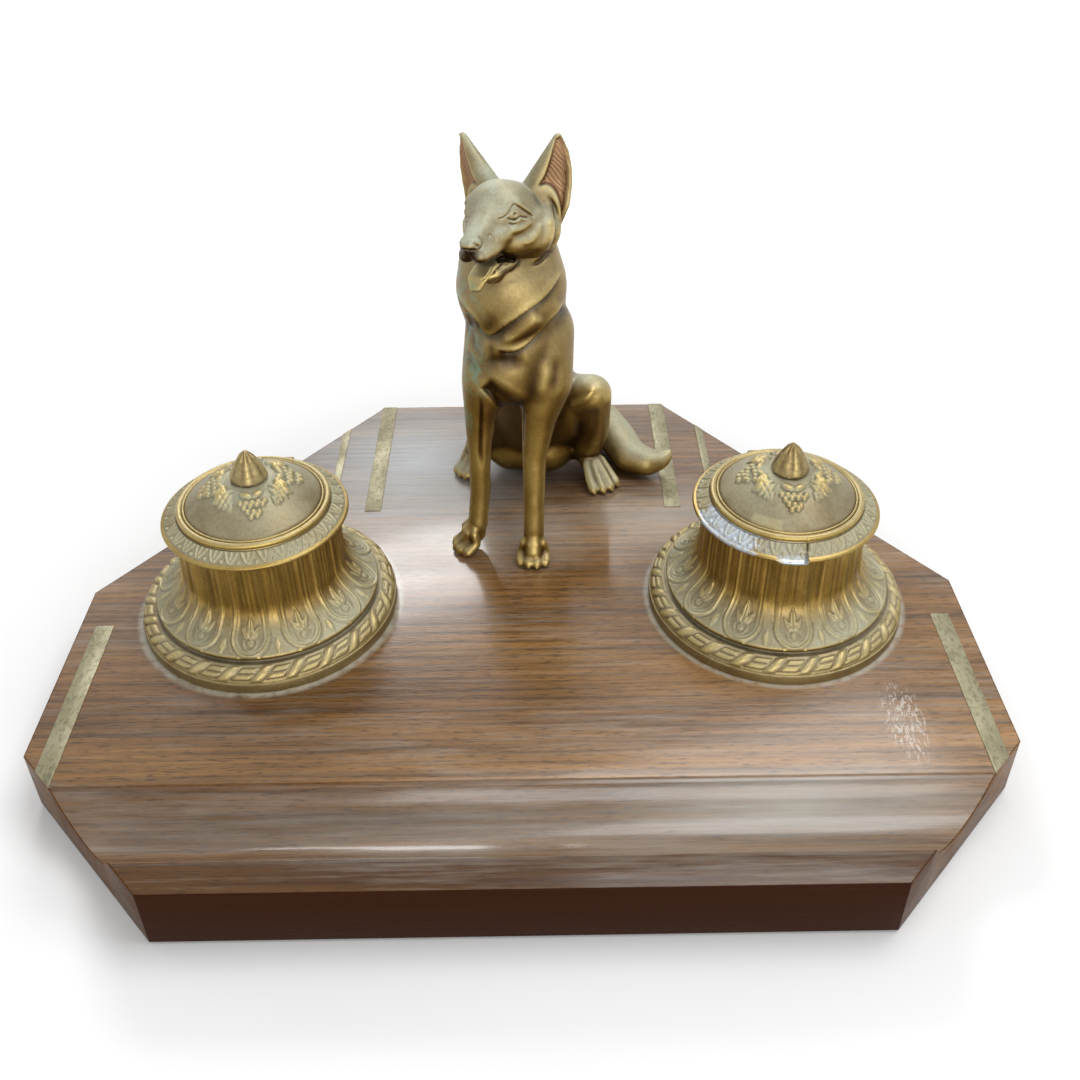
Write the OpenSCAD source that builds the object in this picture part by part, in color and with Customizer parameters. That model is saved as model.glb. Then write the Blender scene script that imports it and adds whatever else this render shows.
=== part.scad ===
// Desk inkstand: a wooden board with a pen groove, two hinged inkwells and a seated dog between them.
// Millimetres. The front faces -Y, the origin is on the surface under the middle of the board.

/* [Board] */
// Width of the board at its widest
board_w = 320; // [300:1:360]
// Depth of the board from front to back
board_d = 259; // [250:1:290]
// Thickness of the wood
board_t = 22.6; // [20:0.1:30]
// Width of the straight front edge
front_w = 222; // [200:1:240]
// Width of the straight back edge
back_w = 127; // [110:1:150]
// How far back the front corner cuts reach
front_cut = 52.5; // [40:0.5:60]
// How far forward the rear corner cuts reach
rear_cut = 127; // [110:1:130]
// Thickness of the baize sheet under the board
baize_t = 0.8; // [0.5:0.1:2]
// Distance the baize stops short of the board's edge
baize_margin = 3; // [1:0.5:6]

/* [Pen groove] */
// Width of the flat rail in front of the groove
rail_w = 11.5; // [9:0.5:14]
// Width of the groove across its mouth
groove_w = 28; // [24:0.5:29]
// Depth of the groove
groove_depth = 9.5; // [7:0.5:11]
// Height of the sharp step behind the groove
step_h = 1.1; // [0.6:0.1:1.5]
// Width of the ledge under the step
step_w = 1.2; // [0.8:0.1:2]

/* [Brass strips] */
// Width of the wide strips
strip_w = 6.6; // [5:0.1:9]
// Width of the thin strips
thin_strip_w = 3.2; // [2:0.1:4.5]
// Thickness of every strip
strip_t = 1.2; // [0.9:0.1:2]
// Height by which the strips stand above the wood
strip_proud = 0.3; // [0.1:0.1:0.5]
// Distance of the outer strips from the middle
outer_strip_x = 151; // [142:1:153]
// Place of the rear end of the outer strips
outer_strip_end = 113.5; // [90:0.5:125]
// Distance of the rear strips from the middle
rear_strip_x = 61.1; // [56:0.1:63]
// Distance of the thin strips from the middle
thin_strip_x = 78.5; // [72:0.5:84]
// Place of the front end of the rear and thin strips
rear_strip_start = 180; // [176:1:190]

/* [Inkwells] */
// Distance of each well from the middle
well_x = 92.3; // [88:0.1:96]
// Place of the wells from the front edge
well_y = 124.6; // [118:0.1:127]
// Radius of the foot
foot_r = 45.7; // [44:0.1:48]
// Height of the plain plinth at the bottom of the foot
plinth_h = 3.7; // [2:0.1:5]
// Radius of the rim where the flare ends
flare_r = 39.6; // [37:0.1:41]
// Height of the lower edge of the flare
flare_z = 9.4; // [8:0.1:11]
// Height at which the flare runs into the neck
neck_z = 25; // [20:0.5:28]
// Radius of the neck
neck_r = 28.2; // [27.8:0.1:30]
// Height of the well without its lid
well_h = 41.6; // [40:0.1:46]
// Thickness of the well's floor
floor_t = 3; // [2:0.1:5]
// Wall of the hollow foot
foot_wall = 3; // [2:0.1:3.4]

/* [Ink liners] */
// Inner radius of the glass liner
liner_r = 21; // [18:0.1:21.5]
// Wall of the glass liner
liner_wall = 2.2; // [1.6:0.1:2.4]
// Height of the flange it hangs by
flange_h = 1.8; // [1.4:0.1:2.5]
// Width of the flange beyond the wall
flange_w = 2.6; // [2:0.1:2.8]
// Depth of the liner below its flange
liner_depth = 26; // [20:0.5:27]
// Clearance round the liner
liner_clear = 0.4; // [0.2:0.1:0.6]

/* [Lids] */
// Radius of the lid's rim
lid_r = 32.2; // [31:0.1:34]
// Height of the lip round the rim
lip_h = 2.1; // [1.6:0.1:2.6]
// Radius of the bead round the domed disc
disc_r = 25.4; // [24:0.1:26.5]
// Height of the bead above the lid's underside
bead_z = 6.5; // [5:0.1:7.5]
// Height of the knob's seat above the lid's underside
seat_z = 15.3; // [13:0.1:18]
// Wall of the lid
lid_wall = 2.2; // [1.6:0.1:3]
// Gap between the closed lid and the neck
lid_gap = 0.3; // [0.2:0.05:0.5]

/* [Knobs] */
// Largest radius of the knob
knob_r = 6.4; // [5:0.1:7]
// Height of the knob
knob_h = 11.3; // [9:0.1:14]
// Radius of the stem riveted through the lid
stem_r = 1.6; // [1.2:0.1:2.2]

/* [Hinges] */
// Radius of the hinge knuckles
knuckle_r = 2.2; // [2:0.1:2.6]
// Width of the middle knuckle on the lid
lug_w = 7; // [5:0.5:9]
// Width of each ear on the well
ear_w = 3.4; // [2.5:0.1:5]
// Side clearance between the knuckles
knuckle_gap = 0.4; // [0.3:0.05:0.6]
// Gap between the knuckles and the lid's rim
rim_gap = 0.7; // [0.5:0.1:1]
// Height of the pin below the lid's underside
pin_drop = 3.2; // [2.8:0.1:3.6]
// Radius of the hinge pin
pin_r = 1; // [0.8:0.05:1.2]
// Running clearance of the pin in the lid
pin_clear = 0.06; // [0.03:0.01:0.09]

/* [Fasteners] */
// Radius of the bolts under the wells and the rump
bolt_r = 2; // [1.5:0.1:2.5]
// Radius of the bolt under the front paw
paw_bolt_r = 1.5; // [1.2:0.1:1.8]
// Length of bolt that screws into the castings
bolt_grip = 8; // [5:0.5:10]
// Depth of the holes that sink the bolt heads
sink_depth = 9; // [7:0.5:12]
// Height of the bolt heads
head_h = 2.8; // [2:0.1:4]
// Width of the washers beyond the bolt
washer_w = 3; // [2:0.1:4]
// Thickness of the washers
washer_t = 1; // [0.6:0.1:1.6]
// Clearance of the bolts in the wood
bolt_clear = 0.3; // [0.2:0.05:0.5]

/* [Dog] */
// Height of the dog to the tips of its ears
dog_h = 160.8; // [145:0.1:175]
// Place of the front paws from the front edge
dog_y = 150; // [146:1:154]

/* [Hidden] */

wood = "saddlebrown";
strip_brass = "#8d8a6a";
spelter = "#a08a45";
glass = "lightcyan";
steel = "slategray";

far = 400;
eps = 0.01;
top_z = baize_t + board_t;
middle_y = board_d / 2;

// The groove is part of a circle that meets the top of the board at both sides of its mouth
groove_radius = (pow(groove_w / 2, 2) + pow(groove_depth, 2)) / (2 * groove_depth);
groove_y = rail_w + groove_w / 2;
groove_z = top_z - groove_depth + groove_radius;
step_y = groove_y + sqrt(pow(groove_radius, 2) - pow(groove_z - top_z + step_h, 2)) + step_w;

// Inkwell sizes, from the board's top upwards
cavity_r = liner_r + liner_wall + liner_clear;
flange_r = liner_r + liner_wall + flange_w;
boss_h = bolt_grip + 2;
boss_r = bolt_r + 4;
lid_z = well_h + lid_gap;
hinge_y = lid_r + rim_gap + knuckle_r;
hinge_z = lid_z - pin_drop;
pin_fit = 0.02;
thread_fit = 0.05;
ring_groove = 0.5;

// The dog's points are real sizes at this height, and follow dog_h together
dog_drawn_h = 160.8;
dog_k = dog_h / dog_drawn_h;
paw_bolt_at = [4.2, 1] * dog_k;
rump_bolt_at = [4, 76] * dog_k;

// Plan of the board, seen from above, drawn inside its edge by a margin
module board_plan(margin = 0) {
  along = margin * 0.6;
  side_x = board_w / 2 - margin;
  polygon([
    [-front_w / 2 + along, margin], [front_w / 2 - along, margin],
    [side_x, front_cut + along], [side_x, board_d - rear_cut - along],
    [back_w / 2 - along, board_d - margin], [-back_w / 2 + along, board_d - margin],
    [-side_x, board_d - rear_cut - along], [-side_x, front_cut + along]
  ]);
}

module board_block() {
  translate([0, 0, baize_t]) linear_extrude(board_t) board_plan();
}

// One strip of a given width, cut off where the board ends
module strip(x, width, start, end, low, high) {
  intersection() {
    translate([x - width / 2, start, top_z + low]) cube([width, end - start, high - low]);
    translate([0, 0, baize_t]) linear_extrude(board_t + far) board_plan();
  }
}

module outer_strip(side, spare = 0) {
  color(strip_brass)
    strip(side * outer_strip_x, strip_w + 2 * spare, step_y, outer_strip_end + spare,
      strip_proud - strip_t, strip_proud + spare);
}

module rear_strip(side, spare = 0) {
  color(strip_brass)
    strip(side * rear_strip_x, strip_w + 2 * spare, rear_strip_start - spare, board_d,
      strip_proud - strip_t, strip_proud + spare);
}

module thin_strip(side, spare = 0) {
  color(strip_brass)
    strip(side * thin_strip_x, thin_strip_w + 2 * spare, rear_strip_start - spare, board_d,
      strip_proud - strip_t, strip_proud + spare);
}

// A clearance hole up through the board, with a wider sink for the head and washer
module bolt_hole(radius) {
  translate([0, 0, -eps]) cylinder(h = top_z + 1, r = radius + bolt_clear, $fn = 48);
  translate([0, 0, -eps]) cylinder(h = baize_t + sink_depth + eps, r = radius + washer_w + 0.5, $fn = 48);
}

module base_board() {
  strip_clear = 0.05;
  color(wood) difference() {
    board_block();
    translate([0, groove_y, groove_z]) rotate([0, 90, 0])
      cylinder(h = far, r = groove_radius, center = true, $fn = 160);
    translate([-far / 2, groove_y, top_z - step_h]) cube([far, step_y - groove_y, far]);
    for (side = [-1, 1]) {
      outer_strip(side, strip_clear);
      rear_strip(side, strip_clear);
      thin_strip(side, strip_clear);
      translate([side * well_x, well_y, 0]) bolt_hole(bolt_r);
    }
    translate([paw_bolt_at[0], dog_y + paw_bolt_at[1], 0]) bolt_hole(paw_bolt_r);
    translate([rump_bolt_at[0], dog_y + rump_bolt_at[1], 0]) bolt_hole(bolt_r);
  }
}

module baize() {
  color("darkgreen") linear_extrude(baize_t) board_plan(baize_margin);
}

// Outer outline of the well, as radius and height: plinth, ribbon band, cove, rim and concave flare
function flare_point(t) = [
  neck_r + (flare_r - neck_r) * pow(1 - t, 2.4),
  flare_z + 1.1 + (neck_z - flare_z - 1.1) * t
];
band_top = [flare_r + 1.2, flare_z - 1.4];
band_low = [foot_r - 0.5, plinth_h + 0.5];
function band_point(t) = band_low + (band_top - band_low) * t + [1, 1] * 0.9 * sin(180 * t);
well_outline = concat(
  [[0, 0], [foot_r, 0], [foot_r, plinth_h], [foot_r - 0.5, plinth_h]],
  [for (t = [0:0.2:1]) band_point(t)],
  [[flare_r - 0.6, flare_z - 0.8], [flare_r - 0.3, flare_z], [flare_r, flare_z + 0.2]],
  [for (t = [0:0.1:1]) flare_point(t)],
  [[neck_r - 0.5, well_h], [0, well_h]]
);

module ear_profile() {
  translate([hinge_y, hinge_z]) circle(r = knuckle_r, $fn = 48);
  polygon([
    [neck_r - 2.7, hinge_z - 11], [neck_r - 2.7, hinge_z - 1.8],
    [hinge_y - 1, hinge_z + knuckle_r * 0.8], [hinge_y + knuckle_r * 0.8, hinge_z - 1.2]
  ]);
}

// A profile in the YZ plane, given a width along X
module across(x, width) {
  translate([x - width / 2, 0, 0]) rotate([90, 0, 90]) linear_extrude(width) children();
}

module pin_bore(radius) {
  translate([-far / 2, hinge_y, hinge_z]) rotate([0, 90, 0]) cylinder(h = far, r = radius, $fn = 48);
}

module well_body() {
  ear_x = lug_w / 2 + knuckle_gap + ear_w / 2;
  color(spelter) difference() {
    union() {
      rotate_extrude($fn = 128) polygon(well_outline);
      for (side = [-1, 1]) across(side * ear_x, ear_w) ear_profile();
    }
    difference() {
      translate([0, 0, floor_t]) cylinder(h = far, r = cavity_r, $fn = 96);
      cylinder(h = boss_h, r = boss_r, $fn = 64);
    }
    translate([0, 0, well_h - flange_h]) cylinder(h = far, r = flange_r + liner_clear, $fn = 96);
    translate([0, 0, -eps]) cylinder(h = bolt_grip + 1, r = bolt_r + thread_fit, $fn = 48);
    rotate_extrude($fn = 96) polygon([
      [cavity_r + foot_wall, -1], [foot_r - foot_wall, -1],
      [foot_r - foot_wall, plinth_h - 0.5], [flare_r - foot_wall, flare_z - 1.4],
      [cavity_r + foot_wall, flare_z + 0.6]
    ]);
    pin_bore(pin_r + pin_fit);
  }
}

module liner() {
  hang_z = well_h - flange_h;
  outer_r = liner_r + liner_wall;
  color(glass) rotate_extrude($fn = 96) polygon([
    [0, hang_z - liner_depth], [outer_r - 1.5, hang_z - liner_depth], [outer_r, hang_z - liner_depth + 1.5],
    [outer_r, hang_z], [flange_r, hang_z], [flange_r, well_h], [liner_r, well_h],
    [liner_r, hang_z - liner_depth + liner_wall + 1.5],
    [liner_r - 1.5, hang_z - liner_depth + liner_wall], [0, hang_z - liner_depth + liner_wall]
  ]);
}

// The lid's dome, from the flat seat under the knob out to the bead
seat_r = knob_r + 0.3;
dome_edge = disc_r - 2;
function dome_z(r) = bead_z - 0.2
  + (seat_z - bead_z + 0.2) * (1 - pow((r - seat_r) / (dome_edge - seat_r), 1.55));
lid_outline = concat(
  [[0, 0], [lid_r - 0.8, 0], [lid_r, 0.7], [lid_r, lip_h - 0.6], [lid_r - 0.6, lip_h]],
  [[disc_r + 1.2, bead_z - 2], [disc_r + 0.3, bead_z - 2 - ring_groove], [disc_r, bead_z - 1.4],
   [disc_r - 0.3, bead_z - 0.3], [disc_r - 0.8, bead_z], [disc_r - 1.5, bead_z - 0.2],
   [disc_r - 1.8, bead_z - ring_groove]],
  [for (i = [8:-1:0]) let (r = seat_r + (dome_edge - seat_r) * i / 8) [r, dome_z(r)]],
  [[0, seat_z]]
);
hollow_r = disc_r - lid_wall;
hollow_outline = concat(
  [[0, -1], [hollow_r - 0.6, -1]],
  [[hollow_r - 0.6, bead_z - 0.2 - lid_wall]],
  [for (i = [7:-1:0]) let (r = seat_r + (dome_edge - seat_r) * i / 8) [r - 0.8, dome_z(r) - lid_wall]],
  [[0, seat_z - lid_wall]]
);

module lug_profile() {
  translate([hinge_y, hinge_z]) circle(r = knuckle_r, $fn = 48);
  polygon([
    [lid_r - 3, lid_z + 0.2], [lid_r - 0.6, lid_z], [hinge_y - knuckle_r * 0.95, hinge_z + 0.4],
    [hinge_y + knuckle_r * 0.6, hinge_z + knuckle_r * 0.78], [lid_r, lid_z + lip_h - 0.7],
    [lid_r - 3, lid_z + lip_h - 0.4]
  ]);
}

module lid() {
  color(spelter) difference() {
    union() {
      translate([0, 0, lid_z]) rotate_extrude($fn = 128) polygon(lid_outline);
      across(0, lug_w) lug_profile();
    }
    translate([0, 0, lid_z]) rotate_extrude($fn = 96) polygon(hollow_outline);
    translate([0, 0, lid_z]) cylinder(h = far, r = stem_r + pin_fit, $fn = 48);
    pin_bore(pin_r + pin_clear);
  }
}

// Pine-cone knob with a stem that is riveted inside the lid
module finial() {
  color(spelter) translate([0, 0, lid_z + seat_z]) rotate_extrude($fn = 64) polygon(concat(
    [[0, -lid_wall - 0.3], [stem_r, -lid_wall - 0.3], [stem_r, 0], [knob_r - 0.8, 0]],
    [for (t = [0:0.125:1]) [knob_r * pow(cos(90 * t), 0.75) * (1 - 0.12 * t), 1 + (knob_h - 1) * t]]
  ));
}

module hinge_pin() {
  pin_l = lug_w + 2 * (knuckle_gap + ear_w) + 0.6;
  color(steel) translate([-pin_l / 2, hinge_y, hinge_z]) rotate([0, 90, 0])
    cylinder(h = pin_l, r = pin_r, $fn = 48);
}

// A bolt from below: head in the sink, shank up through the board into the casting
module bolt(radius) {
  head_z = baize_t + sink_depth - washer_t;
  color(steel) difference() {
    union() {
      translate([0, 0, head_z - head_h]) cylinder(h = head_h, r = radius + 1.6, $fn = 48);
      translate([0, 0, head_z - eps]) cylinder(h = top_z + bolt_grip - head_z + eps, r = radius, $fn = 48);
    }
    translate([-far / 2, -0.5, head_z - head_h - 1]) cube([far, 1, 2]);
  }
}

module washer(radius) {
  color(strip_brass) translate([0, 0, baize_t + sink_depth - washer_t]) difference() {
    cylinder(h = washer_t, r = radius + washer_w, $fn = 48);
    translate([0, 0, -1]) cylinder(h = washer_t + 2, r = radius + bolt_clear, $fn = 48);
  }
}

// A limb through a list of balls, each given as x, y, z and radius
module limb(balls, facets = 16) {
  for (i = [0:len(balls) - 2]) hull() {
    for (b = [balls[i], balls[i + 1]]) translate([b[0], b[1], b[2]]) sphere(r = b[3], $fn = facets);
  }
}

// One rounded form over all the balls of a list
module lump(balls, facets = 16) {
  hull() for (b = balls) translate([b[0], b[1], b[2]]) sphere(r = b[3], $fn = facets);
}

// The head turns and tilts towards its right, so it is drawn facing ahead and then turned as a whole
head_at = [-3.5, 12, 136];
head_turn = -24;
head_tilt = -7;

module head() {
  translate(head_at) rotate([0, 0, head_turn]) rotate([0, head_tilt, 0]) {
    limb([[0, 1, -3, 12], [0, -4, 0.5, 11.5]], 20);
    for (side = [-1, 1]) {
      limb([[side * 7.5, 4, -7, 9.5], [side * 5, -7, -6, 6.5]]);
      limb([[side * 6, -7, 4, 5], [side * 2.5, -12, 2.5, 4.4]]);
      ear(side);
    }
    // Muzzle, nose, lower jaw and hanging tongue
    limb([[0, -8, -1, 8.2], [0, -18, -2.2, 6.2], [0, -24.8, -2.4, 4.5], [0, -27.4, -0.8, 2.8]]);
    limb([[0, -3, -13, 6], [0, -12, -16.6, 4.2], [0, -17.4, -16.6, 2.6]]);
    limb([[0, -13, -13, 1.9], [-0.4, -20.5, -13.6, 2.3], [-1.2, -23.4, -16, 1.9]]);
  }
}

module ear(side) {
  difference() {
    lump([[side * 7.5, 7, 4, 4.6], [side * 14, 8.4, -4.2, 3.4], [side * 18, 10.8, 6.5, 2.3],
      [side * 18.3, 11, 13, 1.9], [side * 17, 10.5, 21.4, 1.5]]);
    lump([[side * 12.5, 1.5, 3, 2.6], [side * 16.8, 5.5, 6, 2.4], [side * 16.6, 8, 16, 1]], 12);
  }
}

module paw(heel, toes) {
  limb([heel, toes]);
  lump([toes, [toes[0] * 0.9 + heel[0] * 0.1, toes[1] + 3, toes[2] - 1, toes[3]]]);
}

module hind_leg(hip, knee, shin, hock) {
  limb([hip, knee], 20);
  limb([knee, shin, hock]);
}

module dog_form() {
  limb([[0, 18, 84, 18.2], [-1, 18, 96, 17.6], [-2, 15, 108, 19.4], [-1.5, 18, 119, 15.5]], 24);
  limb([[-2, 15, 108, 19], [-4.5, 14.5, 116.5, 15.5]], 20);
  limb([[0, 22, 84, 17], [0, 40, 61, 17], [3, 64, 32, 22], [4, 70, 23, 22.5]], 24);
  limb([[-3, 9, 76, 11], [-2, 14, 92, 16]], 20);
  limb([[-4, 60, 13, 12], [10, 60, 13, 13]]);
  head();
  limb([[-6, 15, 90, 13], [-11.4, 10, 74, 9.4], [-14.4, 9, 60, 6], [-15.2, 8.5, 44, 4.5],
    [-15.8, 8, 24, 4], [-17.2, 7, 10, 4.1]]);
  paw([-18.2, 7, 6, 5], [-23, 5, 3.6, 6]);
  limb([[7, 16, 90, 13], [9.6, 10, 73, 9.8], [7, 6, 60, 6.4], [5, 3.5, 44, 4.6], [4.6, 1.5, 24, 4.1],
    [4.4, 0, 10, 4.3]]);
  paw([4.3, 0, 6, 5], [4, -3.8, 3.6, 6.4]);
  hind_leg([14, 62, 27, 15.5], [28, 40, 48.5, 7.8], [29, 50, 26, 7], [27, 57, 10, 6]);
  paw([27, 56, 6, 6], [33.6, 44, 4, 6.6]);
  hind_leg([-8, 62, 27, 15.5], [-12, 43, 44, 6.5], [-15, 52, 26, 6], [-19, 61, 10, 5.5]);
  paw([-19, 61, 6, 5.5], [-23, 55, 4, 5.8]);
  limb([[20, 86, 13, 9], [34, 80, 10, 9], [41, 69, 8, 8.4], [45.5, 57, 7, 7.8], [52, 53, 6.8, 6.8],
    [57.5, 53, 7, 5], [61.5, 54, 9.5, 2.2]]);
}

module dog() {
  color(spelter) translate([0, dog_y, top_z]) difference() {
    scale(dog_k) intersection() {
      dog_form();
      translate([-far / 2, -far / 2, 0]) cube(far);
    }
    translate([paw_bolt_at[0], paw_bolt_at[1], -1])
      cylinder(h = bolt_grip + 2, r = paw_bolt_r + bolt_clear, $fn = 24);
    translate([rump_bolt_at[0], rump_bolt_at[1], -1])
      cylinder(h = bolt_grip + 2, r = bolt_r + bolt_clear, $fn = 24);
  }
}

module centred() {
  translate([0, -middle_y, 0]) children();
}

module at_well(side) {
  centred() translate([side * well_x, well_y, top_z]) children();
}

module under(x, y) {
  centred() translate([x, y, 0]) children();
}

centred() base_board();
centred() baize();
centred() outer_strip(-1);  // outer_left_strip
centred() outer_strip(1);  // outer_right_strip
centred() rear_strip(-1);  // rear_left_strip
centred() rear_strip(1);  // rear_right_strip
centred() thin_strip(-1);  // thin_left_strip
centred() thin_strip(1);  // thin_right_strip
at_well(-1) well_body();  // left_well
at_well(1) well_body();  // right_well
at_well(-1) liner();  // left_liner
at_well(1) liner();  // right_liner
at_well(-1) lid();  // left_lid
at_well(1) lid();  // right_lid
at_well(-1) finial();  // left_finial
at_well(1) finial();  // right_finial
at_well(-1) hinge_pin();  // left_hinge_pin
at_well(1) hinge_pin();  // right_hinge_pin
under(-well_x, well_y) bolt(bolt_r);  // left_well_bolt
under(well_x, well_y) bolt(bolt_r);  // right_well_bolt
under(-well_x, well_y) washer(bolt_r);  // left_well_washer
under(well_x, well_y) washer(bolt_r);  // right_well_washer
centred() dog();
under(paw_bolt_at[0], dog_y + paw_bolt_at[1]) bolt(paw_bolt_r);  // dog_front_bolt
under(rump_bolt_at[0], dog_y + rump_bolt_at[1]) bolt(bolt_r);  // dog_rear_bolt
under(paw_bolt_at[0], dog_y + paw_bolt_at[1]) washer(paw_bolt_r);  // dog_front_washer
under(rump_bolt_at[0], dog_y + rump_bolt_at[1]) washer(bolt_r);  // dog_rear_washer
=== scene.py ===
# %% [markdown]
# This lesson dresses a desk inkstand: a dark wooden board with a pen groove and six brass strips,
# two gilt cast inkwells with domed lids, and a seated shepherd dog between them. The plain solids
# of every part are loaded first and stay the frame that all the detailed pieces are fitted to.

import math

import bpy
import numpy as np
from mathutils import Matrix, Vector


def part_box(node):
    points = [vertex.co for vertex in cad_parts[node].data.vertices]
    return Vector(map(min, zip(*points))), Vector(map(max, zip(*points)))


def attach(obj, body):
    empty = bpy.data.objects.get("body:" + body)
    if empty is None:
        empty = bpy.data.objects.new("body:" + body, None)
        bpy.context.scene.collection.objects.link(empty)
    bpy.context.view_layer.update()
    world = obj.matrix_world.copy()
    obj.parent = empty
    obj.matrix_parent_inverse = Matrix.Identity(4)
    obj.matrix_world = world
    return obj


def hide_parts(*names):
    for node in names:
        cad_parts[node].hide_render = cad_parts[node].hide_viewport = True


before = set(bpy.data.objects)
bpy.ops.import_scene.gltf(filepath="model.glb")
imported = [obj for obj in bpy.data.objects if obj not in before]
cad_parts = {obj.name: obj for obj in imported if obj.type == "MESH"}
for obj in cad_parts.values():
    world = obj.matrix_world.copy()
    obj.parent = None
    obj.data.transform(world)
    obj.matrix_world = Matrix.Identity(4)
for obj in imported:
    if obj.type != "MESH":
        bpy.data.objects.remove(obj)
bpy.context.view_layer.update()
MM = 0.001
print("nodes loaded:", len(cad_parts))

# %% [markdown]
# All pieces are modelled with Blender's own operators. These act on whatever is selected, so each
# piece starts by clearing the selection. A finished piece has its place in its mesh, not in its
# object, so that patterns on object coordinates stay where they are.

# %% Helpers for starting and finishing a piece
def clear_selection():
    if bpy.context.mode != "OBJECT":
        bpy.ops.object.mode_set(mode="OBJECT")
    bpy.ops.object.select_all(action="DESELECT")


def pick(*pieces):
    clear_selection()
    for piece in pieces:
        piece.select_set(True)
    bpy.context.view_layer.objects.active = pieces[0]


def call_it(name):
    piece = bpy.context.active_object
    piece.name = name
    piece.data.name = name
    return piece


def settle(piece):
    pick(piece)
    bpy.ops.object.transform_apply(location=True, rotation=True, scale=True)
    return piece


def apply_all(piece):
    pick(piece)
    for modifier in list(piece.modifiers):
        bpy.ops.object.modifier_apply(modifier=modifier.name)
    return piece


def face_out(piece):
    pick(piece)
    bpy.ops.object.mode_set(mode="EDIT")
    bpy.ops.mesh.select_all(action="SELECT")
    bpy.ops.mesh.remove_doubles(threshold=0.00001)
    bpy.ops.mesh.normals_make_consistent(inside=False)
    bpy.ops.object.mode_set(mode="OBJECT")
    return piece


def smooth(piece, degrees):
    pick(piece)
    bpy.ops.object.shade_smooth_by_angle(angle=math.radians(degrees))
    return piece


def copy_of(piece, name, shift):
    pick(piece)
    bpy.ops.object.duplicate()
    twin = call_it(name)
    twin.location = twin.location + Vector(shift)
    return settle(twin)


def corners_of(piece):
    spots = np.zeros(len(piece.data.vertices) * 3)
    piece.data.vertices.foreach_get("co", spots)
    return spots.reshape(-1, 3)


def set_corners(piece, spots):
    piece.data.vertices.foreach_set("co", np.asarray(spots, float).ravel())
    piece.data.update()


def note_attribute(piece, name, values):
    layer = piece.data.attributes.get(name)
    if layer is None:
        layer = piece.data.attributes.new(name, "FLOAT", "POINT")
    layer.data.foreach_set("value", np.asarray(values, np.float32))


def soften_edges(piece, name, width, segments):
    edge = piece.modifiers.new(name, "BEVEL")
    edge.width = width * MM
    edge.segments = segments
    edge.limit_method = "ANGLE"
    return apply_all(piece)


def triangles_of(piece):
    return sum(len(p.vertices) - 2 for p in piece.data.polygons)


def report(piece):
    print(f"{piece.name}: {triangles_of(piece)} triangles")


# %% [markdown]
# The camera stands where the photograph's did. Its place and turn were fitted to the board's corners
# and to the circles of the inkwells. The picture's centre lies a little below the optical axis,
# which the shift corrects.

# %% Camera
camera_data = bpy.data.cameras.new("camera")
camera = bpy.data.objects.new("camera", camera_data)
bpy.context.scene.collection.objects.link(camera)
bpy.context.scene.camera = camera
# In pixels: the picture's side, the focal length, and how far the optical axis lies above the middle
PICTURE = 1080
FOCAL = 1187.238
AXIS_UP = 50
SENSOR = 36
VIEW_RIGHT = Vector((0.99988606, -0.01208092, -0.00905131))
VIEW_UP = Vector((0.01443618, 0.58998139, 0.80728778))
VIEW_AHEAD = Vector((0.00441268, 0.80732646, -0.59008856))
VIEW_FROM = Vector((0.0049988, -0.3355491, 0.3151211))
view_turn = Matrix((VIEW_RIGHT, VIEW_UP, -VIEW_AHEAD)).transposed().to_4x4()
camera.matrix_world = Matrix.Translation(VIEW_FROM) @ view_turn
camera_data.sensor_width = SENSOR
camera_data.lens = FOCAL / PICTURE * SENSOR
camera_data.shift_y = -AXIS_UP / PICTURE
camera_data.clip_start = 0.01
camera_data.clip_end = 50
print("camera at", tuple(round(v, 3) for v in camera.location))

# %% [markdown]
# Materials are built from nodes. A small helper adds a node and fills its sockets, with a link
# where the value is another node's output and a plain number or colour otherwise.

# %% Helpers for materials
def add_node(tree, kind, settings=None, **sockets):
    node = tree.nodes.new(kind)
    for key, value in (settings or {}).items():
        setattr(node, key, value)
    for key, value in sockets.items():
        fill(tree, node.inputs[key.replace("_", " ")], value)
    return node


def fill(tree, socket, value):
    if isinstance(value, bpy.types.NodeSocket):
        tree.links.new(value, socket)
    else:
        socket.default_value = value


def new_material(name):
    material = bpy.data.materials.new(name)
    material.use_nodes = True
    tree = material.node_tree
    shader = next(n for n in tree.nodes if n.type == "BSDF_PRINCIPLED")
    return material, tree, shader


def place_on_piece(tree, scale, offset=(0, 0, 0)):
    coordinates = add_node(tree, "ShaderNodeTexCoord")
    mapping = add_node(tree, "ShaderNodeMapping")
    fill(tree, mapping.inputs["Vector"], coordinates.outputs["Object"])
    mapping.inputs["Scale"].default_value = scale
    mapping.inputs["Location"].default_value = offset
    return mapping.outputs["Vector"]


def noise(tree, scale, detail, rough, twist=0.0, offset=(0, 0, 0)):
    vector = place_on_piece(tree, scale, offset)
    node = add_node(tree, "ShaderNodeTexNoise", Vector=vector, Scale=1.0, Detail=detail)
    node.inputs["Roughness"].default_value = rough
    node.inputs["Distortion"].default_value = twist
    return node.outputs["Fac"]


def ramp(tree, value, stops):
    node = tree.nodes.new("ShaderNodeValToRGB")
    fill(tree, node.inputs["Fac"], value)
    line = node.color_ramp
    while len(line.elements) < len(stops):
        line.elements.new(0.5)
    for element, (place, colour) in zip(line.elements, stops):
        element.position = place
        if isinstance(colour, (int, float)):
            colour = (colour, colour, colour)
        element.color = (*colour, 1)
    return node.outputs["Color"]


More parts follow.
